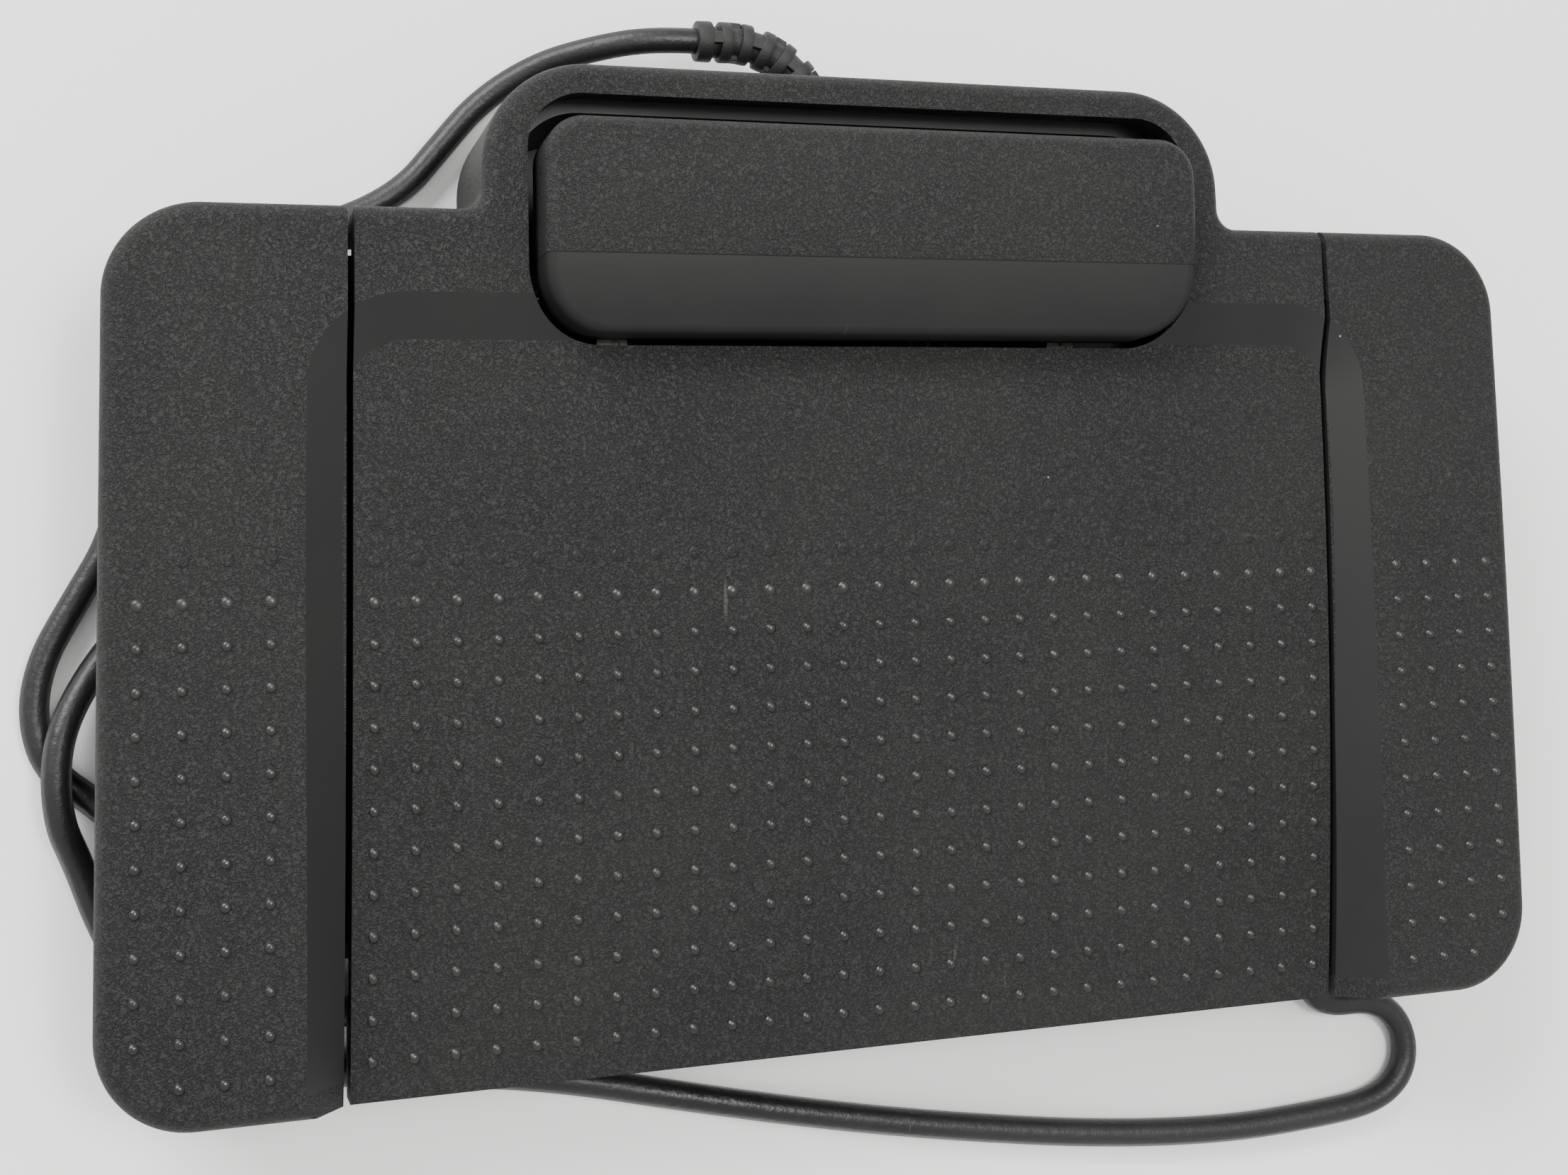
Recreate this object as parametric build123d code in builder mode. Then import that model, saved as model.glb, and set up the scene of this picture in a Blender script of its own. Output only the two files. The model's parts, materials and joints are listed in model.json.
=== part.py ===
"""Foot control of a dictation machine: three pedals, a bar key, a base and a signal cord.

Frame: +X right, +Y away from the user, +Z up, millimetres.
Origin: middle of the device's footprint (without the cord), on the floor.
"""
import math
import os

from build123d import *

os.makedirs("parts", exist_ok=True)

# ------------------------------------------------------------------ driving dimensions
HALF_WIDTH = 106.3        # pedals, middle to outer edge
HALF_DEPTH = 69.7         # front edge and hump's rear edge from the origin
DECK_REAR = 48.6          # rear edge beside the hump
CORNER_R = 12.5           # plan corners of the side pedals
HUMP_HALF_WIDTH = 57.0
HUMP_CORNER_R = 15.0
HUMP_FOOT_R = 3.0         # inside corner between hump and deck
EDGE_R = 2.2              # rounded upper edges of the pedals
WALL = 2.4                # pedal plate and skirt
RIB = 1.8                 # pedal wall along a gap
GAP = 0.9                 # between neighbouring pedals
GAP_X = 74.75             # middle of each gap
SKIRT_Z = 14.0            # lower edge of the pedals' skirt
HUMP_SKIRT_Z = 8.0        # lower edge of the hump's skirt
DECK_FRONT_Z = 26.2       # upper surface (deck and side pedals) at the front edge
DECK_REAR_Z = 33.8        # and at the hump's rear edge
DECK_CROWN = 0.8          # its rise above a straight line
TRAY_FRONT_Z = 18.9       # tray surface at the front edge
TRAY_REAR_Z = 30.0        # and at its rear end
TRAY_CROWN = 1.7
TRAY_REAR_Y = 30.5        # rear end of the tray surface
BAND_DEPTH = 6.4          # sloped band behind it, along Y
STRIP_WIDTH = 5.3         # sloped strip beside it, along X
TRAY_CORNER_R = 12.6      # plan corner of the band's upper edge

BASE_HALF_WIDTH = 85.0
BASE_FRONT = 52.0
BASE_REAR = 45.0
BASE_REAR_Z = 11.4        # top of the low rear wall beside the hump
LOW_WALL_END_X = 80.0
BASE_HUMP_GAP = 1.0       # base wall to the hump's skirt
BASE_WALL = 2.0
BASE_FLOOR = 2.2
BASE_CORNER_R = 9.0
BASE_DROP = 13.2          # base rim under the tray's surface line
SOLE_THICK = 2.0
SOLE_INSET = 1.5

SHAFT_R = 2.0
SHAFT_Y = 40.0
SHAFT_Z = 16.5
SHAFT_HALF = 82.6
BOSS_R = 4.5
RUN_FIT = 0.05            # radial clearance of a running fit
BOSS_FIT = 0.3            # side play between a boss and its neighbour
SADDLE = 4.0
PLAIN_SADDLE_X = 56.4     # open shaft support
CLIP_SADDLE_X = 36.0      # shaft support with a screwed clip
CENTRE_BOSS = (PLAIN_SADDLE_X + SADDLE / 2 + BOSS_FIT, 64.8)
SIDE_BOSS_X = 66.0

KEY_HALF_WIDTH = 49.4
KEY_FRONT = 31.1
KEY_REAR = 60.6
KEY_RIDGE = 41.6
KEY_PROUD = 6.0           # key's top above the deck
KEY_NOSE = 3.9            # height of the key's front edge above the tray's rear end
KEY_REAR_R = 5.5
KEY_FRONT_R = 9.0
KEY_EDGE_R = 1.8
KEY_BEND = 4.0            # half length of the bend from the key's top to its front slope
KEY_WALL = 2.0
KEY_SKIRT = 4.5           # key wall below the deck surface
WELL_HALF_WIDTH = KEY_HALF_WIDTH + 1.5
WELL_FRONT = 30.0
WELL_REAR = 65.0
WELL_REAR_R = 8.0
WELL_FRONT_R = 10.5
KEY_PIN_R = 1.25
KEY_PIN_Y = 56.0
KEY_PIN_Z = 24.0

BOARD_Z = 7.2
BOARD_THICK = 1.6
BOARD_HALF_WIDTH = 74.0
BOARD_FRONT = -8.0
BOARD_REAR = 35.2
SWITCH_SIZE = (6.0, 9.0, 4.6)
PLUNGER_R = 1.1
PLUNGER_OUT = 1.4
PLUNGER_IN = 1.6
TOUCH_GAP = 0.1           # actuator to plunger at rest
SIDE_SWITCH = (70.0, 12.0)
CENTRE_SWITCH = (14.0, 10.0)
KEY_SWITCH = (0.0, 33.2)

WIRE_R = 0.4              # pedal spring wire
SIDE_SPRING = (80.1, -36.0, 2.2)
CENTRE_SPRING = (45.0, -36.0, 3.6)
KEY_SPRING = (28.0, 47.2, 2.6)
SPRING_TURNS = 5
CUP_DEPTH = 0.5           # level pad over a spring, under the sloping plate
SIDE_CUP_DEPTH = 4.4      # the same under a side pedal's sloped strip

BALLAST_THICK = 3.0
BALLAST_HALF_WIDTH = 73.0
BALLAST_FRONT = -48.0
BALLAST_REAR = -13.0
SCREW_R = 1.2
SCREW_HEAD_R = 2.3
SCREW_HEAD = 1.4

CORD_D = 4.1
CORD_R = CORD_D / 2
EXIT_X = -1.0             # cord exit in the base's rear wall
EXIT_Z = 12.0
RELIEF_R = 3.2
RELIEF_BEND = 14.0
RELIEF_Y = HALF_DEPTH + 10.5
RELIEF_END_X = -20.5
NOTCH_HALF_WIDTH = 6.5
NOTCH_TOP = 19.0

HANK_X = 105.4
HANK_HALF_WIDTH = 18.25
HANK_UPPER_HALF = 14.15
HANK_FRONT = -46.2
HANK_REAR = 52.0
HANK_LIFT = 0.8
TIE_WIDTH = 9.0
TIE_THICK = 0.8
TIE_Y = 4.0

PLUG_X = -92.0
PLUG_Y = 14.0
PLUG_R = 5.0


# ------------------------------------------------------------------ surfaces as curves in Y
def chord_z(y, y0, z0, y1, z1):
    return z0 + (z1 - z0) * (y - y0) / (y1 - y0)


def crowned_z(y, y0, z0, y1, z1, crown):
    middle = (y0 + y1) / 2
    half = (y1 - y0) / 2
    return chord_z(y, y0, z0, y1, z1) + crown * (1 - ((y - middle) / half) ** 2)


def deck_z(y):
    return crowned_z(y, -HALF_DEPTH, DECK_FRONT_Z, HALF_DEPTH, DECK_REAR_Z, DECK_CROWN)


def tray_z(y):
    return crowned_z(y, -HALF_DEPTH, TRAY_FRONT_Z, TRAY_REAR_Y, TRAY_REAR_Z, TRAY_CROWN)


def rim_z(y):
    """Height of the base's rim at y."""
    return chord_z(y, -HALF_DEPTH, TRAY_FRONT_Z, TRAY_REAR_Y, TRAY_REAR_Z) - BASE_DROP + 5.0


FAR = 120.0               # half size of helper volumes


def slab(surface, drop, above):
    """A block bounded by a surface(y) lowered by drop, above it or below it."""
    stations = [-FAR, -FAR / 3, FAR / 3, FAR]
    points = [(y, surface(y) - drop) for y in stations]
    end = 90.0 if above else -90.0
    with BuildPart() as block:
        with BuildSketch(Plane.YZ.offset(-FAR * 1.5)):
            with BuildLine():
                curve = Spline(*points)
                Polyline(curve @ 1, (FAR, end), (-FAR, end), curve @ 0)
            make_face()
        extrude(amount=FAR * 3)
    return block.part


# ------------------------------------------------------------------ plan outlines
def pedal_plan(inset):
    """Plan of the three pedals together, set in by inset."""
    with BuildSketch() as plan:
        with Locations((0, (DECK_REAR - HALF_DEPTH) / 2)):
            RectangleRounded(
                2 * (HALF_WIDTH - inset),
                DECK_REAR + HALF_DEPTH - 2 * inset,
                CORNER_R - inset,
            )
        rear = HALF_DEPTH - inset
        with Locations((0, rear / 2)):
            Rectangle(2 * (HUMP_HALF_WIDTH - inset), rear)
        tips = plan.vertices().filter_by_position(Axis.Y, rear - 0.01, rear + 0.01)
        fillet(tips, HUMP_CORNER_R - inset)
        feet = [
            v for v in plan.vertices()
            if abs(abs(v.X) - HUMP_HALF_WIDTH + inset) < 0.01
            and abs(v.Y - DECK_REAR + inset) < 0.01
        ]
        fillet(feet, HUMP_FOOT_R + inset)
    return plan.sketch


def base_plan(inset):
    """Plan of the base: a block under the pedals and one under the hump."""
    half = BASE_HALF_WIDTH - inset
    with BuildSketch() as plan:
        with Locations((0, (BASE_REAR - BASE_FRONT) / 2)):
            RectangleRounded(2 * half, BASE_REAR + BASE_FRONT - 2 * inset, BASE_CORNER_R - inset)
        rear = HALF_DEPTH - WALL - BASE_HUMP_GAP - inset
        hump_half = HUMP_HALF_WIDTH - WALL - BASE_HUMP_GAP - inset
        with Locations((0, rear / 2)):
            Rectangle(2 * hump_half, rear)
        tips = plan.vertices().filter_by_position(Axis.Y, rear - 0.01, rear + 0.01)
        fillet(tips, HUMP_CORNER_R - WALL - BASE_HUMP_GAP - inset)
    return plan.sketch


def key_plan(half, front, rear, front_r, rear_r):
    with BuildSketch() as plan:
        with Locations((0, (front + rear) / 2)):
            Rectangle(2 * half, rear - front)
        fillet(plan.vertices().group_by(Axis.Y)[0], front_r)
        fillet(plan.vertices().group_by(Axis.Y)[-1], rear_r)
    return plan.sketch


# ------------------------------------------------------------------ tray cutter
def tray_outline(level, grow):
    """Outline of the tray's sloped walls on the plane level(y), grown outwards.

    The wall runs in a straight line from the tray's edge up to the deck, so its place at
    another height follows from how far that height lies between the two surfaces.
    """
    depth = deck_z(TRAY_REAR_Y) - tray_z(TRAY_REAR_Y)
    share_rear = (level(TRAY_REAR_Y) - tray_z(TRAY_REAR_Y)) / depth
    rear = TRAY_REAR_Y + grow + BAND_DEPTH * share_rear
    corner = max(1.5, TRAY_CORNER_R - STRIP_WIDTH * (1 - share_rear))
    front = -HALF_DEPTH - 8
    stations = (front, (front + rear - corner) / 2, rear - corner)

    def half_at(y):
        share = (level(y) - tray_z(y)) / (deck_z(y) - tray_z(y))
        return GAP_X + GAP / 2 + grow + STRIP_WIDTH * share

    return [half_at(y) for y in stations], stations, rear, corner


def tray_section(level, slope_deg, grow):
    """The outline as a face on a plane inclined along Y."""
    halves, stations, rear, corner = tray_outline(level, grow)
    origin = (0, 0, level(0))
    tilt = math.radians(slope_deg)
    plane = Plane(origin=origin, x_dir=(1, 0, 0), z_dir=(0, -math.sin(tilt), math.cos(tilt)))
    stretch = 1 / math.cos(tilt)
    right = [(h, y * stretch) for h, y in zip(halves, stations)]
    top = rear * stretch
    with BuildSketch(plane) as section:
        with BuildLine():
            side = ThreePointArc(right[0], right[1], right[2])
            half = right[2][0]
            bend = TangentArc(side @ 1, (half - corner, top), tangent=(0, 1))
            back = Line(bend @ 1, (-half + corner, top))
            bend_left = TangentArc(back @ 1, (-half, right[2][1]), tangent=(-1, 0))
            side_left = ThreePointArc(
                bend_left @ 1, (-right[1][0], right[1][1]), (-right[0][0], right[0][1])
            )
            Line(side_left @ 1, side @ 0)
        make_face()
    return section.sketch.faces()[0]


TRAY_SLOPE = math.degrees(
    math.atan2(TRAY_REAR_Z - TRAY_FRONT_Z, TRAY_REAR_Y + HALF_DEPTH)
)
DECK_SLOPE = math.degrees(math.atan2(DECK_REAR_Z - DECK_FRONT_Z, 2 * HALF_DEPTH))


def tray_low(y):
    return chord_z(y, -HALF_DEPTH, TRAY_FRONT_Z, TRAY_REAR_Y, TRAY_REAR_Z) - 0.4


def tray_high(y):
    return chord_z(y, -HALF_DEPTH, DECK_FRONT_Z, HALF_DEPTH, DECK_REAR_Z) + 2.0


def tray_cutter(drop, grow):
    """Everything above the tray surface (lowered by drop) inside the sloped walls."""
    with BuildPart() as cutter:
        low = tray_section(tray_low, TRAY_SLOPE, grow)
        high = tray_section(tray_high, DECK_SLOPE, grow)
        loft([low, high], ruled=True)
        add(extrude(low, amount=-12, dir=(0, 0, 1)), mode=Mode.ADD)
        add(slab(tray_z, drop, True), mode=Mode.INTERSECT)
    return cutter.part


# ------------------------------------------------------------------ pedals
def pedal_blank():
    """The three pedals in one: outline, deck surface, tray and a hollow underside."""
    deck_top = slab(deck_z, 0, False)
    with BuildPart() as blank:
        add(extrude(pedal_plan(0), amount=60))
        add(deck_top, mode=Mode.INTERSECT)
        upper = blank.edges().filter_by_position(Axis.Z, 24, 60).filter_by(
            lambda e: abs(e.tangent_at(0.5).Z) < 0.5
        )
        fillet(upper, EDGE_R)
        add(tray_cutter(0, 0), mode=Mode.SUBTRACT)
        with BuildSketch(Plane.XY):
            with Locations((0, (DECK_REAR - FAR) / 2)):
                Rectangle(3 * FAR, DECK_REAR + FAR)
        extrude(amount=SKIRT_Z, mode=Mode.SUBTRACT)
        with BuildSketch(Plane.XY):
            Rectangle(3 * FAR, 3 * FAR)
        extrude(amount=HUMP_SKIRT_Z, mode=Mode.SUBTRACT)
    return blank.part


def pedal_hollow():
    """The space under the pedals' plate, inside their outer skirt."""
    with BuildPart() as hollow:
        add(extrude(pedal_plan(WALL), amount=60))
        add(slab(deck_z, WALL, False), mode=Mode.INTERSECT)
        add(tray_cutter(WALL, 1.2), mode=Mode.SUBTRACT)
    return hollow.part


def strip_between(x0, x1, z0=-10.0, z1=90.0, y0=-FAR, y1=FAR):
    """A plain block, used to cut along the gaps and to make ribs."""
    with BuildPart() as block:
        with Locations(((x0 + x1) / 2, (y0 + y1) / 2, (z0 + z1) / 2)):
            Box(abs(x1 - x0), y1 - y0, z1 - z0)
    return block.part


def above_rim(extra):
    """Space over the base's rim, where the pedals' ribs end."""
    return slab(lambda y: rim_z(y) + extra, 0, False)


EDGE_IN = GAP_X - GAP / 2           # centre pedal's side
EDGE_OUT = GAP_X + GAP / 2          # side pedal's inner side
RIB_CLEAR = 4.6                     # ribs' lower edge over the base's rim
blank = pedal_blank()
hollow = pedal_hollow()
rib_cut = above_rim(RIB_CLEAR)
over_base = strip_between(
    -BASE_HALF_WIDTH - 3, BASE_HALF_WIDTH + 3, y0=-BASE_FRONT - 4.5, y1=BASE_REAR + 0.9
)
rib_trim = rib_cut & over_base


def pin_bosses(stations, top):
    """Hinge bosses round the shaft, each with a web up to the plate."""
    with BuildPart() as bosses:
        for x0, x1 in stations:
            with BuildSketch(Plane.YZ.offset(x0)):
                with Locations((SHAFT_Y, SHAFT_Z)):
                    Circle(BOSS_R)
                with Locations((SHAFT_Y, (SHAFT_Z + top) / 2)):
                    Rectangle(2 * BOSS_R - 3.0, top - SHAFT_Z)
                with Locations((SHAFT_Y, SHAFT_Z)):
                    Circle(SHAFT_R + RUN_FIT, mode=Mode.SUBTRACT)
            extrude(amount=x1 - x0)
    return bosses.part


def centre_features():
    """Bosses, spring cups and the switch actuator under the centre pedal."""
    x, y = CENTRE_SWITCH
    foot_z = BOARD_Z + BOARD_THICK + SWITCH_SIZE[2] + PLUNGER_OUT + TOUCH_GAP
    with BuildPart() as features:
        for side in (-1, 1):
            near, far = sorted((side * CENTRE_BOSS[0], side * CENTRE_BOSS[1]))
            add(pin_bosses([(near, far)], deck_z(SHAFT_Y) - 1.0))
        with BuildSketch(Plane.XY.offset(foot_z)):
            with Locations((x, y)):
                Rectangle(5, 4)
        extrude(amount=tray_z(y) - 1.0 - foot_z)
    return features.part


def side_features(side):
    """Inner beam of a side pedal: hinge boss, actuator and the web that carries them."""
    x_in, x_out = SIDE_BOSS_X, EDGE_OUT + RIB
    y_front, y_rear = SIDE_SWITCH[1] - 3.0, SHAFT_Y
    foot_z = BOARD_Z + BOARD_THICK + SWITCH_SIZE[2] + PLUNGER_OUT + TOUCH_GAP
    near, far = sorted((side * x_in, side * x_out))
    rib_near, rib_far = sorted((side * EDGE_OUT, side * x_out))
    with BuildPart() as features:
        add(strip_between(near, far, SHAFT_Z, SHAFT_Z + 2.6, y_front, y_rear))
        add(strip_between(rib_near, rib_far, SHAFT_Z, deck_z(y_front) - 3.0, y_front, y_rear + BOSS_R))
        with BuildSketch(Plane.YZ.offset(near)):
            with Locations((SHAFT_Y, SHAFT_Z)):
                Circle(BOSS_R)
        extrude(amount=far - near)
        with Locations((side * SIDE_SWITCH[0], SIDE_SWITCH[1], (foot_z + SHAFT_Z) / 2 + 0.5)):
            Box(4, 4, SHAFT_Z - foot_z + 1.0)
        with BuildSketch(Plane.YZ.offset(near - 1)):
            with Locations((SHAFT_Y, SHAFT_Z)):
                Circle(SHAFT_R + RUN_FIT)
        extrude(amount=far - near + 2, mode=Mode.SUBTRACT)
    return features.part


def spring_cup(x, y, radius, surface, depth):
    """A round pad with a lip under the plate, level for a spring's upper end."""
    level = surface(y) - WALL - depth
    with BuildPart() as cup:
        with BuildSketch(Plane.XY.offset(level - 1.6)):
            with Locations((x, y)):
                Circle(radius + 1.4)
        extrude(amount=depth + WALL + 1.6)
        with BuildSketch(Plane.XY.offset(level - 1.6)):
            with Locations((x, y)):
                Circle(radius + WIRE_R + 0.25)
        extrude(amount=1.6, mode=Mode.SUBTRACT)
    return cup.part & blank


with BuildPart() as centre_pedal:
    add(blank)
    add(hollow, mode=Mode.SUBTRACT)
    add(strip_between(-EDGE_IN, EDGE_IN), mode=Mode.INTERSECT)
    for side in (-1, 1):
        rib_near, rib_far = sorted((side * EDGE_IN, side * (EDGE_IN - RIB)))
        rib = strip_between(rib_near, rib_far) & blank
        add(rib)
    add(rib_trim, mode=Mode.SUBTRACT)
    for x in (-CENTRE_SPRING[0], CENTRE_SPRING[0]):
        add(spring_cup(x, CENTRE_SPRING[1], CENTRE_SPRING[2], tray_z, CUP_DEPTH))
    add(centre_features())
    well = key_plan(WELL_HALF_WIDTH, WELL_FRONT, WELL_REAR, WELL_FRONT_R, WELL_REAR_R)
    extrude(well, amount=60, mode=Mode.SUBTRACT)
    with Locations((EXIT_X, HALF_DEPTH, NOTCH_TOP / 2)):
        Box(2 * NOTCH_HALF_WIDTH, 3 * WALL, NOTCH_TOP, mode=Mode.SUBTRACT)
centre_pedal.part.label = "centre_pedal"
export_step(centre_pedal.part, "parts/centre_pedal.step")


def side_pedal(side):
    near, far = sorted((side * EDGE_OUT, side * FAR))
    rib_near, rib_far = sorted((side * EDGE_OUT, side * (EDGE_OUT + RIB)))
    with BuildPart() as pedal:
        add(blank)
        add(hollow, mode=Mode.SUBTRACT)
        add(strip_between(near, far), mode=Mode.INTERSECT)
        add(strip_between(rib_near, rib_far) & blank)
        add(rib_trim, mode=Mode.SUBTRACT)
        add(spring_cup(side * SIDE_SPRING[0], SIDE_SPRING[1], SIDE_SPRING[2], deck_z, SIDE_CUP_DEPTH))
        add(side_features(side))
    return pedal.part


for side, name in ((-1, "left_pedal"), (1, "right_pedal")):
    with BuildPart() as pedal:
        add(side_pedal(side))
    pedal.part.label = name
    export_step(pedal.part, f"parts/{name}.step")


# ------------------------------------------------------------------ bar key
def key_top(drop):
    """Space under the key's top: level with the deck at the rear, sloping to the front."""
    front = KEY_FRONT - 1
    rear = KEY_REAR + 1
    ridge_z = deck_z(KEY_RIDGE) + KEY_PROUD - drop
    nose_z = TRAY_REAR_Z + KEY_NOSE - drop

    def profile(y):
        if y < KEY_RIDGE:
            return chord_z(y, front, nose_z, KEY_RIDGE, ridge_z)
        return deck_z(y) + KEY_PROUD - drop

    stations = (front, KEY_RIDGE - KEY_BEND, KEY_RIDGE + KEY_BEND, rear)
    with BuildPart() as block:
        with BuildSketch(Plane.YZ.offset(-KEY_HALF_WIDTH - 1)):
            with BuildLine():
                curve = Spline(*[(y, profile(y)) for y in stations])
                Polyline(curve @ 1, (rear, -5), (front, -5), curve @ 0)
            make_face()
        extrude(amount=2 * KEY_HALF_WIDTH + 2)
    return block.part


key_outer = key_plan(KEY_HALF_WIDTH, KEY_FRONT, KEY_REAR, KEY_FRONT_R, KEY_REAR_R)
key_inner = key_plan(
    KEY_HALF_WIDTH - KEY_WALL, KEY_FRONT + KEY_WALL, KEY_REAR - KEY_WALL,
    KEY_FRONT_R - KEY_WALL, KEY_REAR_R - KEY_WALL,
)
with BuildPart() as key_hollow:
    extrude(key_inner, amount=60)
    add(key_top(KEY_WALL), mode=Mode.INTERSECT)

KEY_EAR_X = KEY_HALF_WIDTH - 9.4
KEY_EAR = 3.0
with BuildPart() as bar_key:
    extrude(key_outer, amount=60)
    add(key_top(0), mode=Mode.INTERSECT)
    crown = bar_key.edges().filter_by_position(Axis.Z, TRAY_REAR_Z + 2, 60).filter_by(
        lambda e: abs(e.tangent_at(0.5).Z) < 0.6
    )
    fillet(crown, KEY_EDGE_R)
    add(key_hollow, mode=Mode.SUBTRACT)
    add(slab(deck_z, KEY_SKIRT, False), mode=Mode.SUBTRACT)
    for side in (-1, 1):
        near, far = sorted((side * KEY_EAR_X, side * (KEY_EAR_X + KEY_EAR)))
        with BuildSketch(Plane.YZ.offset(near)):
            with Locations((KEY_PIN_Y, KEY_PIN_Z)):
                Circle(3.0)
            with Locations((KEY_PIN_Y, (KEY_PIN_Z + deck_z(KEY_PIN_Y) + KEY_PROUD) / 2)):
                Rectangle(5.0, deck_z(KEY_PIN_Y) + KEY_PROUD - KEY_PIN_Z - 2)
            with Locations((KEY_PIN_Y, KEY_PIN_Z)):
                Circle(KEY_PIN_R + RUN_FIT, mode=Mode.SUBTRACT)
        extrude(amount=far - near)
    key_foot_z = BOARD_Z + BOARD_THICK + SWITCH_SIZE[2] + PLUNGER_OUT + TOUCH_GAP
    with Locations((KEY_SWITCH[0], KEY_SWITCH[1], (key_foot_z + TRAY_REAR_Z + 2) / 2)):
        Box(5.0, 2.6, TRAY_REAR_Z + 2 - key_foot_z)
    for x in (-KEY_SPRING[0], KEY_SPRING[0]):
        with BuildSketch(Plane.XY.offset(deck_z(KEY_SPRING[1]) + KEY_PROUD - KEY_WALL - 3.6)):
            with Locations((x, KEY_SPRING[1])):
                Circle(KEY_SPRING[2] + 1.4)
                Circle(KEY_SPRING[2] + WIRE_R + 0.25, mode=Mode.SUBTRACT)
        extrude(amount=4.2)
bar_key.part.label = "bar_key"
export_step(bar_key.part, "parts/bar_key.step")

# ------------------------------------------------------------------ base
FLOOR_Z = SOLE_THICK
INNER_Z = SOLE_THICK + BASE_FLOOR
PIN_POST_X = KEY_EAR_X - BOSS_FIT
PIN_POST = 3.0
SCREWS_BOARD = [(-60, -4), (60, -4), (-46, 26), (46, 26)]
SCREWS_BALLAST = [(-66, -18), (66, -18), (-18, -43), (18, -43)]
PAD_SPOTS = [(-28, -43), (28, -43)]
EXIT_BLOCK = 0.3          # clearance between the two halves of the cord clamp
CLAMP_Y = 56.0
CLAMP_HALF = 8.0
CLAMP_SCREWS_X = (EXIT_X - 6, EXIT_X + 6)
CLIP_SCREWS_Y = (SHAFT_Y - 8, SHAFT_Y + 8)
CLIP_FOOT_Z = SHAFT_Z - 2.0
SADDLE_DEPTH = 2 * BOSS_R - 0.6
END_SADDLE = 3.2
PIN_BOSS_R = 3.0
BOARD_POST_R = 3.0
SPRING_SEAT_Z = INNER_Z + BALLAST_THICK + 1.5
KEY_SEAT_Z = 20.0
INNER_WALL_Y = HALF_DEPTH - WALL - BASE_HUMP_GAP - BASE_WALL
FLANGE = 1.6              # thickness of the strain relief's flange
FLANGE_Y = INNER_WALL_Y - FLANGE
LEAD_END_Y = 49.0


def post(x, y, radius, z0, z1):
    with BuildPart() as pin:
        with BuildSketch(Plane.XY.offset(z0)):
            with Locations((x, y)):
                Circle(radius)
        extrude(amount=z1 - z0)
    return pin.part


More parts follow.
